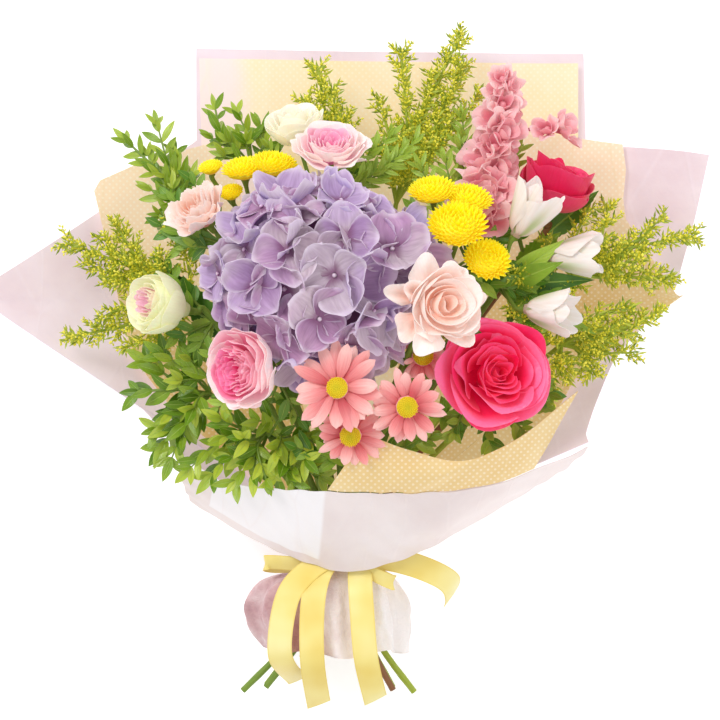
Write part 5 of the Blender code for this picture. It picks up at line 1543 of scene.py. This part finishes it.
bloom("garden_rose_top_front", "petal_rose", TOP_FACE,
      [(4, 0.5, 0.98, 86, 100, 0.0), (6, 1.0, 0.74, 74, 72, 0.05)],
      HEART + [(4, 0.66, 0.98, 84, 110, 0.01), (4, 0.78, 0.92, 80, 104, 0.02), (5, 0.90, 0.84, 78, 90, 0.03)],
      core=(0.36, 0.5, 0.0), seed=21, **GARDEN_SHAPE)
bloom("garden_rose_top_back", "petal_ivory", CREAM,
      [(3, 0.5, 1.0, 92, 120, 0.0), (5, 1.0, 0.85, 90, 84, 0.03)],
      [(3, 0.2, 0.98, 90, 130, 0), (4, 0.34, 1.0, 91, 110, 0), (4, 0.66, 0.98, 92, 100, 0),
       (5, 0.84, 0.92, 91, 90, 0.02)],
      core=(0.4, 0.5, 0.0), seed=25, roll=0.03, crumple=0.02, nu=13, nv=12)

# %% [markdown]
# ## Carnations
# The blush carnations are loose: broad outer petals with gently notched, wavy rims round a folded centre of a
# warmer apricot, partly their own colour and partly painted shade in the depth of the bloom. The notches come
# from shortening every second column of points a little.

# %% Carnations
# The apricot heart is partly the carnation's own warmer colour and partly painted shade in the depth of the
# bloom.
BLUSH = petal_finish(
    "blush_petals", heart=("#e39a7e", "#f3bda6", "#fbdccf"), outer=("#f0b9a6", "#f9d8cc", "#fdeee8"),
    back="#fae0d5", turn=(0.25, 0.6), back_share=0.5, veins=0.2, rough=0.55, soft=0.3, glow=0.1, tones=0.4)
CARNATION_SHAPE = dict(ruffle=0.05, waves=1.2, slant=0.10, round_=0.26, wild=0.26, nu=15, nv=10)
bloom("carnation_right", "petal_peach", BLUSH,
      [(3, 0.44, 0.84, 92, 150, 0.0), (7, 1.0, 0.52, 44, 46, 0.0, dict(round_=0.42, frill=0.02, slant=0.03))],
      [(2, 0.16, 0.76, 90, 170, 0), (3, 0.29, 0.80, 91, 150, 0), (3, 0.56, 0.85, 94, 134, 0.0),
       (4, 0.66, 0.80, 92, 120, 0.0), (4, 0.78, 0.60, 60, 62, 0.0, dict(round_=0.36, frill=0.03))],
      core=(0.28, 0.5, 0.0), seed=31, sway=(12, 2, 0), teeth=0.004, crumple=0.13, frill=0.07,
      **CARNATION_SHAPE)
bloom("carnation_left", "petal_peach", BLUSH, [(5, 0.5, 0.98, 74, 80, 0.0), (8, 1.0, 0.74, 56, 56, 0.0)],
      [(4, 0.16, 0.94, 86, 110, 0), (5, 0.28, 0.97, 84, 90, 0), (6, 0.40, 0.98, 80, 80, 0.0),
       (7, 0.62, 0.94, 70, 66, 0.0), (8, 0.78, 0.86, 62, 58, 0.0)],
      core=(0.30, 0.5, 0.0), seed=36, teeth=0.03, crumple=0.10, frill=0.12, **CARNATION_SHAPE)

# %% [markdown]
# ## Coral daisies
# Each daisy has about two dozen narrow petals, slightly grooved, round a button of tiny florets. Every second
# petal lies lower, with one more beneath it. The button's florets are set at the golden angle, which packs
# them as a real disc does: green in the middle, yellow at the edge.

# %% Daisies
CORAL = petal_finish(
    "coral_petals", heart=("#c9545c", "#e88c8c", "#f8bcb6"), outer=("#d26a70", "#eda09e", "#fcd0ca"),
    back="#f8bab4", turn=(0.2, 0.9), back_share=0.4, veins=0.6, soft=0.2, vein_lanes=8.0, tones=0.5)


def eye_finish():
    made = Finish("daisy_eye", Roughness=0.65)
    colour = made.ramp(made.mark("ring") + 0.2 * (made.mark("tone") - 0.5),
                       (0.1, "#d6ce1c"), (0.45, "#f4dc18"), (0.9, "#fbd41c"))
    return made.done(colour, made.cloud(900.0), 0.0002)


def bead(spot, facing, r, length, sides=5):
    """Tiny rounded floret or bud."""
    profile = [(0, 0), (r * 0.8, length * 0.25), (r, length * 0.6), (r * 0.6, length * 0.88), (0, length)]
    return turned_solid(profile, sides, spot, turned(facing))


EYE = eye_finish()
DAISY_PETALS = 17
PETAL_FOOT_R, LOW_PETAL, HIGH_PETAL = 4.5, 3.1, 4.6
DAISY_CUP = [(0, 0), (3.6, 0.0), (7.2, 3.6), (6.6, 5.6), (0, 5.8)]
EYE_BUTTON = [(0, 6.1), (6.6, 6.1), (6.0, 8.4), (3.2, 9.3), (0, 9.6)]
EYE_FLORETS, EYE_R, EYE_TOP, EYE_DROP = 110, 6.2, 9.4, 1.5


def daisy(grown, head, rng, fine):
    """Grooved petals round a green cup; every second one lies lower, with one more beneath it."""
    b, f, r = head["b"], head["f"], head["r"]
    axes = turned(f, rng.random())
    grown.put(turned_solid(DAISY_CUP, 24, b, axes), 0.0, 0.2)
    for q in range(DAISY_PETALS):
        a = 2 * math.pi * (q + 0.35 * rng.random()) / DAISY_PETALS
        rise, short = rng.random(), rng.random()
        for extra in ((0, 1) if q % 2 else (0,)):
            turn = a + extra * math.pi / DAISY_PETALS + (fine.random() - 0.5) * 0.2
            out = axes @ spoke(turn, 0.08 + 0.20 * rise - 0.12 * extra)
            high = (LOW_PETAL if q % 2 else HIGH_PETAL) - 1.2 * extra
            foot = [(PETAL_FOOT_R * math.cos(turn), PETAL_FOOT_R * math.sin(turn), high)]
            start = placed(foot, b, axes)[0]
            length = (r - PETAL_FOOT_R) * (1 - 0.22 * short) * (0.92 if extra else 1.0)
            width = (0.24 + 0.07 * short) * r
            bend = 0.06 - 0.26 * fine.random()
            twist = fine.uniform(-0.35, 0.35)
            grown.grow(lambda s: leaf(start, out, f, length * s, width * s, bend, -0.16, 1.2, nu=9, nv=10,
                                      thick=SHEET_THICK, twist=twist, full=0.55, taper=0.0),
                       0.3 + 0.35 * extra, fine.random(), (1.0, 0.85, 0.7, 0.55))
    return axes


def daisy_eye(eye, head, axes, fine):
    """Button of florets at the golden angle, green in the middle."""
    b = head["b"]
    eye.put(turned_solid(EYE_BUTTON, 20, b, axes), 0.3, 0.4)
    for q in range(EYE_FLORETS):
        share = math.sqrt((q + 0.5) / EYE_FLORETS)
        a = GOLDEN_ANGLE * q
        spot = (EYE_R * share * math.cos(a), EYE_R * share * math.sin(a), EYE_TOP - EYE_DROP * share ** 4)
        lean = unit([math.cos(a) * share * 0.9, math.sin(a) * share * 0.9, 1])
        eye.put(bead(placed([spot], b, axes)[0], axes @ lean, 0.42, 1.1), share, fine.random())


for k, name in enumerate(["daisy_1", "daisy_2", "daisy_3"]):
    rng, fine = random.Random(40 + k), random.Random(140 + k)
    grown, eye = Grown(name + "_petals"), Grown(name + "_eye")
    grown.friends = (name + "_eye",)
    for head in [HEADS[name]] + ([HEADS["daisy_small"]] if name == "daisy_2" else []):
        daisy_eye(eye, head, daisy(grown, head, rng, fine), fine)
    grown.piece("petal_coral", CORAL)
    eye.piece("disc_green_yellow", EYE)

# %% [markdown]
# ## Yellow pompons
# A button chrysanthemum is a dome of about a hundred short petals, each turned a little up. They are set at
# the golden angle over the dome, longer and flatter toward the edge, on a small core. The smallest heads are
# drawn a little larger than their solids, as they crowd in the picture.

# %% Pompons
# Painted light over the pompons' own yellow: the deeper gold at the petals' feet is painted shade deep in the
# dome, and the pale tips are a painted highlight.
SUN = petal_finish(
    "yellow_petals", heart=("#e8b800", "#fdea00", "#fff42c"), outer=("#e4b400", "#fbe000", "#fff020"),
    back="#fde600", turn=(0.3, 0.95), back_share=0.25, veins=0.06, soft=0.3, vein_lanes=5.0, glow=0.14)
SMALL_POMPON_R, SMALL_POMPON_SCALE = 16, 1.14


def pompon(grown, head, seed):
    """Dome of short petals at the golden angle on a small core."""
    rng = random.Random(seed)
    b, f, r, h = head["b"], head["f"], head["r"], head["h"]
    r *= SMALL_POMPON_SCALE if r < SMALL_POMPON_R else 1.0
    axes = turned(f, rng.random())
    grown.put(turned_solid([(0, 0), (min(3.4, r * 0.35), 0), (0.70 * r, h * 0.30), (0.74 * r, h * 0.5),
                            (0.5 * r, h * 0.74), (0, h * 0.82)], 20, b, axes), 0.9, 0.1)
    count = int(46 + 5.2 * r)
    for k in range(count):
        share = math.sqrt((k + 0.5) / count)
        a = GOLDEN_ANGLE * k
        low = share * 1.75
        d = np.array([math.cos(a) * math.sin(low), math.sin(a) * math.sin(low), max(-0.25, math.cos(low))])
        spot = np.array([d[0] * r * 0.62, d[1] * r * 0.62, h * 0.42 + d[2] * h * 0.34])
        way = unit(d + np.array([0, 0, 0.35]))
        start = placed([spot], b, axes)[0]
        up = axes @ np.array([-d[0], -d[1], 1.2])
        length, width = r * (0.24 + 0.13 * share), 2.6 + 0.05 * r
        grown.grow(lambda s: leaf(start, axes @ way, up, length * s, width, 0.25, 0.22, 0.7, nu=5, nv=5),
                   share, rng.random(), (1.0, 0.75))


for k, name in enumerate(f"pompon_{side}_{number}" for side in ("left", "right") for number in (1, 2, 3)):
    grown = Grown(name + "_bloom")
    pompon(grown, HEADS[name], 60 + k)
    if name + "b" in HEADS:
        pompon(grown, HEADS[name + "b"], 70 + k)
    grown.piece("petal_yellow", SUN)

# %% [markdown]
# ## Alstroemeria
# Three half-open trumpets of six pointed petals: white, blushed at the foot, with a green streak down the
# middle of each. The inner three are narrower than the outer three.

# %% Alstroemeria
WHITE = petal_finish(
    "white_petals", heart=("#d3b8a0", "#f2e2dc", "#faf0ee"), outer=("#e8a89c", "#f7e4de", "#fcf5f2"),
    back="#f2e4dc", turn=(0.3, 0.7), back_share=0.4, veins=0.6, rough=0.42, soft=0.25, vein_lanes=7.0,
    glow=0.06, stripe="#9db765")
for k in (1, 2, 3):
    head = HEADS[f"alstroemeria_{k}"]
    rng, fine = random.Random(80 + k), random.Random(180 + k)
    b, f, r, h = head["b"], head["f"], head["r"], head["h"]
    axes = turned(f, rng.random() * ANY_TURN)
    grown = Grown(f"alstroemeria_{k}_bloom")
    throat = [(0, 0), (3.2, 0), (4.4, h * 0.16), (3.0, h * 0.34), (0, h * 0.4)]
    grown.put(turned_solid(throat, 20, b, axes), 0.0, 0.2)
    for q in range(6):
        wide, far, tall = (150, 0.98 * r, 0.96 * h) if q % 2 else (128, 0.80 * r, 1.0 * h)
        tall *= fine.uniform(0.95, 1.03)

        def petal(size):
            mid = cupped(math.pi * q / 3, wide, far * 0.94 * size, tall * size, 62, 2.2, 2.0, curl=0.10,
                         round_=0.30, slant=0.10, ruffle=0.09, nu=17, nv=14, peak=0.03, crumple=0.12,
                         frill=0.11)
            return skin(placed(mid, b, axes))

        grown.grow(petal, q % 2, fine.random())
    grown.piece("petal_white", WHITE)

# %% [markdown]
# ## Snapdragon
# A spire of ruffled blossoms, the largest at the foot. Each blossom is a short throat with two rings of
# frilled lobes. They follow a spiral up the stem, each tilted its own way, and the youngest at the tip are
# the smallest.

# %% Snapdragon spire
SNAPDRAGON = petal_finish(
    "snapdragon_petals", heart=("#c45f70", "#e08494", "#efa9b2"), outer=("#d87a86", "#eda0aa", "#fadcd8"),
    back="#f0aeb4", turn=(0.2, 0.9), back_share=0.4, soft=0.25, glow=0.1, tones=0.5)
BLOSSOMS, FOOT_SIZE, TIP_SIZE = 27, 29.0, 12.0
THROAT = np.array([(0, 0), (0.15, 0.18), (0.18, 0.34), (0.1, 0.46), (0, 0.5)])
LOBES = [(3, 0.30, 0.84, 84, 140), (5, 0.62, 0.72, 58, 88)]


def blossom(grown, spot, out, size, seed):
    """A short throat with two rings of frilled lobes."""
    fine = random.Random(seed)
    axes = turned(out, fine.random() * ANY_TURN)
    grown.put(turned_solid(THROAT * size, 12, spot, axes), 0.2, fine.random())
    for layer, (lobes, far, tall, opening, wide) in enumerate(LOBES):
        for q in range(lobes):
            a = 2 * math.pi * (q + 0.5 * layer + 0.4 * fine.random()) / lobes
            stretch = fine.uniform(0.8, 1.15)

            def petal(s):
                mid = cupped(a, wide, size * far * s * stretch, size * tall * s * stretch, opening,
                             size * 0.10, size * 0.22, curl=0.09 * layer, round_=0.34, ruffle=0.11, waves=1.4,
                             nu=12, nv=8, roll=0.10, crumple=0.17, frill=0.13)
                return skin(placed(mid, spot, axes), LEAF_THICK)

            grown.grow(petal, 0.3 + 0.3 * layer, fine.random())


grown = Grown("snapdragon_bloom")
grown.put(tube([spline(SPIRE, t) for t in np.linspace(0, 0.99, 14)], np.linspace(2.8, 1.2, 14), 10), 0.0, 0.1)
for k in range(BLOSSOMS):
    t = 0.03 + 0.95 * k / (BLOSSOMS - 1)
    ahead = unit(spline(SPIRE, min(1, t + 0.02)) - spline(SPIRE, t - 0.02))
    out = turned(ahead) @ spoke(k * 2.4, 0.3)
    wild = random.Random(470 + k)
    tilt = np.array([wild.uniform(-0.3, 0.3), wild.uniform(-0.3, 0.3), wild.uniform(0.0, 0.4)])
    size = (FOOT_SIZE - (FOOT_SIZE - TIP_SIZE) * t) * wild.uniform(0.85, 1.15)
    blossom(grown, spline(SPIRE, t), unit(out + tilt), size, 400 + k)
side, tip = spline(SPIRE, 0.62), np.array([128.0, 150.0, 72.0])
grown.put(round_stem([side, (side + tip) / 2 + np.array([0, 3, 0]), tip], [1.2, 1.2, 1.4], 8), 0.0, 0.1)
blossom(grown, tip, unit([1, 0.4, 0.4]), 21.0, 450)
blossom(grown, tip - np.array([3, 1, 0]), unit([-0.4, 0.5, 0.9]), 15.0, 451)
grown.piece("petal_snapdragon", SNAPDRAGON)

# %% [markdown]
# ## Hydrangea
# The big head is a dome of four-petalled florets that overlap like tiles. Each petal is broad and a little
# cupped, and each floret tilts its own way, so the head shows many soft edges and deep violet gaps, whose
# colour is partly painted shade: the core and the floret stalks are painted the darkest violet. The florets
# stand at the golden angle over an egg-shaped core, on the same places as the florets of the solid, with more
# tucked between.

# %% Hydrangea head
LILAC = petal_finish(
    "lilac_petals", heart=("#83507a", "#ba8cae", "#d6b2cc"), outer=("#78609c", "#b3a0d0", "#d2c6e8"),
    back="#b791b4", back_share=0.5, veins=0.75, vein_lanes=8.0, scatter=(0.002, 0.0016, 0.003),
    patch="#cbbcc2", spot=("#7c466e", 0.02, 0.3, 0.8), glow=0.08, rim="#e2d3e6", tones=0.5)
CORE_PROFILE = [(0, -0.62), (0.10, -0.62), (0.44, -0.42), (0.62, 0.0), (0.50, 0.36), (0.26, 0.56), (0, 0.62)]
FLORETS, TUCKED, FLORET_R = 40, 34, 22.0
LIFTS = (0.02, 0.2, 0.42, 0.75)


def floret_petal(spot, axes, a, r, lift, wide, curve, seed):
    """Broad rounded petal of a floret, narrow at its foot."""
    u, v = grid(9, 9)
    half = r * wide * np.sin(math.pi * np.minimum(0.07 + 0.80 * v ** 0.9, 1)) ** 0.8
    x = r * (0.06 + 0.94 * v * (1 - 0.16 * u * u * v))
    y = half * u
    wave = 0.11 * r * np.sin(3.3 * u + seed) * v * v + 0.05 * r * np.sin(6.1 * v + 2 * seed) * v
    wave = wave + 0.03 * r * np.sin(7.3 * u - 1.7 * seed + 3 * v) * v * v
    z = r * (lift * v * v + curve * u * u * np.sin(math.pi * v * 0.8)) + wave + 0.6
    c, s = math.cos(a), math.sin(a)
    local = np.stack([x * c - y * s, x * s + y * c, z + x * 0], axis=-1)
    return skin(placed(local[::-1], spot, axes), rim=0.5)


def floret(grown, spot, facing, roll, r, seed, young=0.0, lifted=1.0):
    """Four petals and a small bead in the middle; True where at least one petal found room."""
    fine = random.Random(seed)
    axes = turned(unit(facing), roll)
    base_lift, kin = fine.choice(LIFTS), fine.random()
    found = False
    for q in range(4):
        lift = (base_lift + fine.uniform(-0.14, 0.22)) * lifted
        wide, curve, turn = fine.uniform(0.56, 0.66), fine.uniform(0.05, 0.32), fine.uniform(-0.14, 0.14)
        a = math.pi / 2 * q + turn
        long = 1.06 if q % 2 else 0.98
        size = grown.grow(lambda s: floret_petal(spot, axes, a, r * s * long, lift, wide, curve, seed + q),
                          kin, fine.random(), (1.0, 0.86, 0.72))
        found = found or size > 0
    if found:
        grown.put(bead(spot + axes[:, 2] * 0.4, axes[:, 2], 1.5, 2.6, 9), -1.0, young)
    return found


def edge_of(d):
    """1 at the left and top rim of the head, where the florets are smaller, and 0 elsewhere."""
    return float(smooth(max(-d[0], d[1]), 0.2, 0.8))


def dome_way(k, count, drop, turn=0.0):
    """The way to one of many places spread evenly over a dome, from its top downward."""
    h = 1 - drop * (k + 0.5) / count
    level = math.sqrt(max(0.0, 1 - h * h))
    a = GOLDEN_ANGLE * k + turn
    return np.array([level * math.cos(a), level * math.sin(a), h])


def any_tilt(fine):
    return np.array([fine.uniform(-1, 1) for _ in range(3)])


rng = random.Random(7)
grown = Grown("hydrangea_bloom")
points, faces, marks = turned_solid(CORE_PROFILE, 40, (0, 0, 0), np.eye(3))
# Painted shade: the core gets a tone below the range, so it takes the darkest violet and fills the gaps
# between florets with shade colour.
grown.put((points * HYDRANGEA_SIZE + HYDRANGEA_CENTRE, faces, marks), 0.2, -1.5)
for k in range(FLORETS):
    d = dome_way(k, FLORETS, 1.62)
    edge = edge_of(d)
    fine = random.Random(700 + k)
    tilt = any_tilt(fine) * (0.5 - 0.3 * edge)
    spot = HYDRANGEA_CENTRE + d * HYDRANGEA_SIZE * (0.90 + 0.06 * (k % 3) / 2 - 0.07 * edge)
    floret(grown, spot, unit(d / HYDRANGEA_SIZE) + tilt, rng.random() * 1.5, FLORET_R * (1.04 - 0.2 * edge),
           10 * k, fine.random(), 1 - 0.55 * max(float(smooth(d[2], 0.55, 0.95)), edge))
    # Painted shade: the floret stalks are painted dark violet too.
    grown.put(tube([HYDRANGEA_CENTRE + d * HYDRANGEA_SIZE * 0.5, spot], [1.2, 0.9], 6), 0.0, -0.8)
for k in range(TUCKED):
    d = dome_way(k, TUCKED, 1.5, 1.2)
    fine = random.Random(900 + k)
    tilt = any_tilt(fine) * 0.5
    spot = HYDRANGEA_CENTRE + d * HYDRANGEA_SIZE * 0.80
    floret(grown, spot, unit(d / HYDRANGEA_SIZE) + tilt, fine.random() * 1.5, FLORET_R * 0.95, 5000 + 10 * k,
           fine.random())
grown.piece("petal_lilac", LILAC)

# %% [markdown]
# ## Sprays of box leaves
# The leafy twigs carry small, glossy, oval leaves in pairs. The solids have a few large leaves on each twig;
# here the same twigs carry twice as many, at the true size, tried for room one by one, and shorter twigs fill
# the gaps. The goldenrod further on starts from the same two helpers.

# %% Greens
LEAF_SHAPE = {"greens_top_left": (17.0, 8.2, 0.30, 0.30), "greens_top": (17.0, 8.6, 0.32, 0.30),
              "greens_low_left": (21.0, 9.6, 0.38, 0.0), "greens_low": (20.0, 9.2, 0.38, 0.06)}
MORE_TWIGS = {
    "greens_top_left": [
        (-140, 130, 64), (-128, 118, 74), (-120, 100, 80), (-138, 94, 74), (-112, 128, 68), (-146, 142, 60),
        (-138, 164, 56), (-122, 138, 62)],
    "greens_top": [
        (-92, 150, 66), (-76, 152, 66), (-60, 150, 62), (-96, 138, 66), (-84, 172, 56), (-104, 152, 60)],
    "greens_low_left": [
        (-128, -38, 100), (-120, -10, 104), (-118, -56, 98), (-132, 8, 96), (-126, -70, 92),
        (-110, -34, 108), (-112, 6, 104)],
    "greens_low": [
        (-88, -66, 112), (-60, -82, 118), (-50, -60, 124), (-78, -50, 122), (-30, -66, 122),
        (-24, -52, 116), (-92, -50, 110), (-54, -88, 110), (-116, -72, 98), (-20, -78, 110),
        (-84, -84, 104), (-66, -36, 120), (-40, -84, 114)],
    "goldenrod_top_left": [(-20, 188, 50), (-4, 152, 60), (-24, 160, 56), (-32, 170, 52)],
    "goldenrod_top": [
        (85, 184, 52), (12, 180, 52), (50, 196, 48), (66, 166, 58), (28, 158, 62), (46, 148, 66),
        (10, 146, 64), (60, 180, 54)],
    "goldenrod_left": [
        (-153, 70, 76), (-173, 53, 72), (-153, 40, 82), (-178, 26, 70), (-159, 4, 78), (-135, 73, 84),
        (-128, 96, 78), (-142, -4, 84), (-186, 66, 66), (-150, 22, 86), (-176, 84, 66)],
    "goldenrod_right": [
        (206, 98, 64), (190, 68, 74), (156, 84, 84), (150, 104, 78), (112, 60, 90), (118, 84, 80),
        (104, 42, 98), (96, 54, 104), (172, 60, 84), (132, 78, 84), (138, 44, 92)],
    "goldenrod_low_right": [
        (182, 38, 86), (150, 24, 98), (146, -6, 96), (186, 4, 84), (136, -16, 92), (112, -22, 96),
        (104, 28, 100), (94, 36, 108), (122, -32, 94), (164, 12, 92), (128, 8, 96)],
}


def fronds(kind, fine_seed, tone):
    """Each frond of a kind, started with its main stem, and the random draws of its solid and of its own."""
    for number, (node, (_, tips)) in enumerate(FRONDS.items()):
        if node.startswith(kind):
            grown = Grown(node)
            grown.put(round_stem(stem_path(node), [STEM_R] * 5 + [1.8, 1.6], 12, 4), 1.0, tone)
            yield node, tips, grown, random.Random(200 + number), random.Random(fine_seed + number)


def main_limbs(grown, node, tips, back, rng, tone):
    """Axes of the twigs that the solid has too, each with its limb."""
    for tip in tips:
        axis = frond_axis(FRONDS[node][0], tip, back, rng)
        grown.put(limb_of(axis), 1.0, tone)
        yield axis


def more_limbs(grown, node, back, fine, tone):
    """Axes of the extra twigs, each with its limb, where it found room; None where it didn't."""
    for tip in MORE_TWIGS[node]:
        axis = frond_axis(FRONDS[node][0], tip, back, fine)
        found = grown.grow(lambda s: limb_of(axis, (1.1 * s, 0.8 * s, 0.5)), 1.0, tone)
        yield axis if found else None


def length_of(axis):
    return np.linalg.norm(axis[2] - axis[0])


for node, tips, grown, rng, fine in fronds("greens", 1200, 0.5):
    long, spacing, slim, pale = LEAF_SHAPE[node]
    for axis in main_limbs(grown, node, tips, 14, rng, 0.6):
        # The solid draws these for its own leaves, and its next twig follows them.
        for _ in range(6 * max(3, int(length_of(axis) / 13.0)) + 3):
            rng.random()
        twig_of_leaves(grown, axis, long, spacing, fine, 0.08, slim, pale)
    for axis in more_limbs(grown, node, 8, fine, 0.6):
        if axis:
            twig_of_leaves(grown, axis, long * 0.95, spacing, fine, 0.2, slim, pale)
    grown.piece("leaf_green", SPRAY_GREEN, FIRM_CREASE)

# %% [markdown]
# ## Goldenrod
# Goldenrod is a plume of fine side twigs, crowded with yellow-green buds smaller than a grain of rice. The
# solid has a pointed tuft for each twig; here every tuft becomes a curved twig set with beads and slim
# leaflets, inside nearly the same outline, and more twigs fill the plume between them.

# %% Goldenrod
def goldenrod_finish():
    made = Finish("goldenrod_buds", (0.1, (0.001, 0.001, 0.0004)), Roughness=0.55)
    tone, kind = made.mark("tone"), made.mark("ring")
    cloud = made.cloud(30.0, 2.0)
    buds = made.ramp(tone * 0.7 + cloud * 0.4, (0.2, "#b3b31a"), (0.5, "#dcd32c"), (0.85, "#f8ec5a"))
    blades = made.ramp(tone, (0.0, "#789022"), (1.0, "#bcc442"))
    colour = made.blend(kind, buds, blades)
    # glow: painted light, an emission that lifts the shade inside the plumes
    return made.done(colour, made.cloud(900.0, 1.0), 0.0002, glow=0.12)


GOLDENROD = goldenrod_finish()
BEADS_PER_MM = 0.85
LEAFLETS = 5


def sliver(spot, way, r, length, sides=4):
    """Bud or leaflet drawn as a spindle, the cheapest shape that still has a soft edge."""
    return turned_solid([(0, 0), (r, length * 0.55), (0, length)], sides, spot, turned(way))


def tuft(grown, base, way, length, seed):
    """A short curved twig with beads and leaflets, or nothing where a neighbour stands."""
    fine = random.Random(seed)
    way = unit(way)
    axes = turned(way)
    for size in (1.0, 0.7, 0.45):
        if clear(sliver(base + way * 1.5, way, 2.4 * size, length * size, 5), grown.nodes):
            length *= size
            break
    else:
        grown.dropped += 1
        return
    droop = axes @ np.array([fine.uniform(-1, 1), fine.uniform(-1, 1), 0]) * 0.10 * length
    twig = [base, base + way * length * 0.5 + droop * 0.25, base + way * length * 0.96 + droop]
    grown.put(tube([spline(twig, t) for t in (0, 0.5, 1)], [0.5, 0.4, 0.25], 3), 1.0, 0.5)
    beads = int(length * BEADS_PER_MM)
    for k in range(beads):
        t = 0.14 + 0.86 * (k + 0.5) / beads
        side = axes @ spoke(GOLDEN_ANGLE * k)
        size = fine.uniform(0.8, 1.2) * (1.15 - 0.35 * t)
        grown.put(sliver(spline(twig, t), way * 0.6 + side, 0.95 * size, 3.2 * size), 0.0, fine.random())
    for k in range(LEAFLETS):
        side = axes @ spoke(seed + 2.1 * k)
        spot = spline(twig, 0.02 + 0.7 * k / LEAFLETS)
        grown.put(sliver(spot, way + side * 0.9, 0.85, 6.5 + 2 * fine.random(), 3), 1.0, fine.random())


def twig_of_tufts(grown, axis, count, fine, seed):
    """Tufts round a twig at the golden angle, longest at its foot."""
    for k in range(count):
        t = 0.18 + 0.82 * (k + 0.5) / count
        p, ahead = spline(axis, t), ahead_of(axis, t)
        way = ahead * 0.9 + turned(ahead) @ spoke(GOLDEN_ANGLE * k + fine.uniform(-0.4, 0.4)) * 0.75
        tuft(grown, p, way, fine.uniform(10, 15) * (1.15 - 0.5 * t), seed + k)


for node, tips, grown, rng, fine in fronds("goldenrod", 1400, 0.4):
    for number, axis in enumerate(main_limbs(grown, node, tips, 9, rng, 0.4)):
        n = max(3, int(length_of(axis) / 12.0))
        for k in range(n):
            t = 0.1 + 0.9 * (k + 1) / n
            p, ahead = spline(axis, t), ahead_of(axis, t)
            axes = turned(ahead)
            for s in range(2):
                way = ahead * 0.8 + axes @ spoke(k * 2.4 + s * math.pi + rng.uniform(-0.4, 0.4)) * 0.8
                tuft(grown, p, way, rng.uniform(17, 23) * (1.15 - 0.55 * t), 10 * k + s + 100 * number)
        twig_of_tufts(grown, axis, 3 * n, fine, 5000 + 300 * number)
    for number, axis in enumerate(more_limbs(grown, node, 7, fine, 0.4)):
        if axis:
            twig_of_tufts(grown, axis, int(length_of(axis) / 3.6), fine, 9000 + 300 * number)
    grown.piece("goldenrod", GOLDENROD)
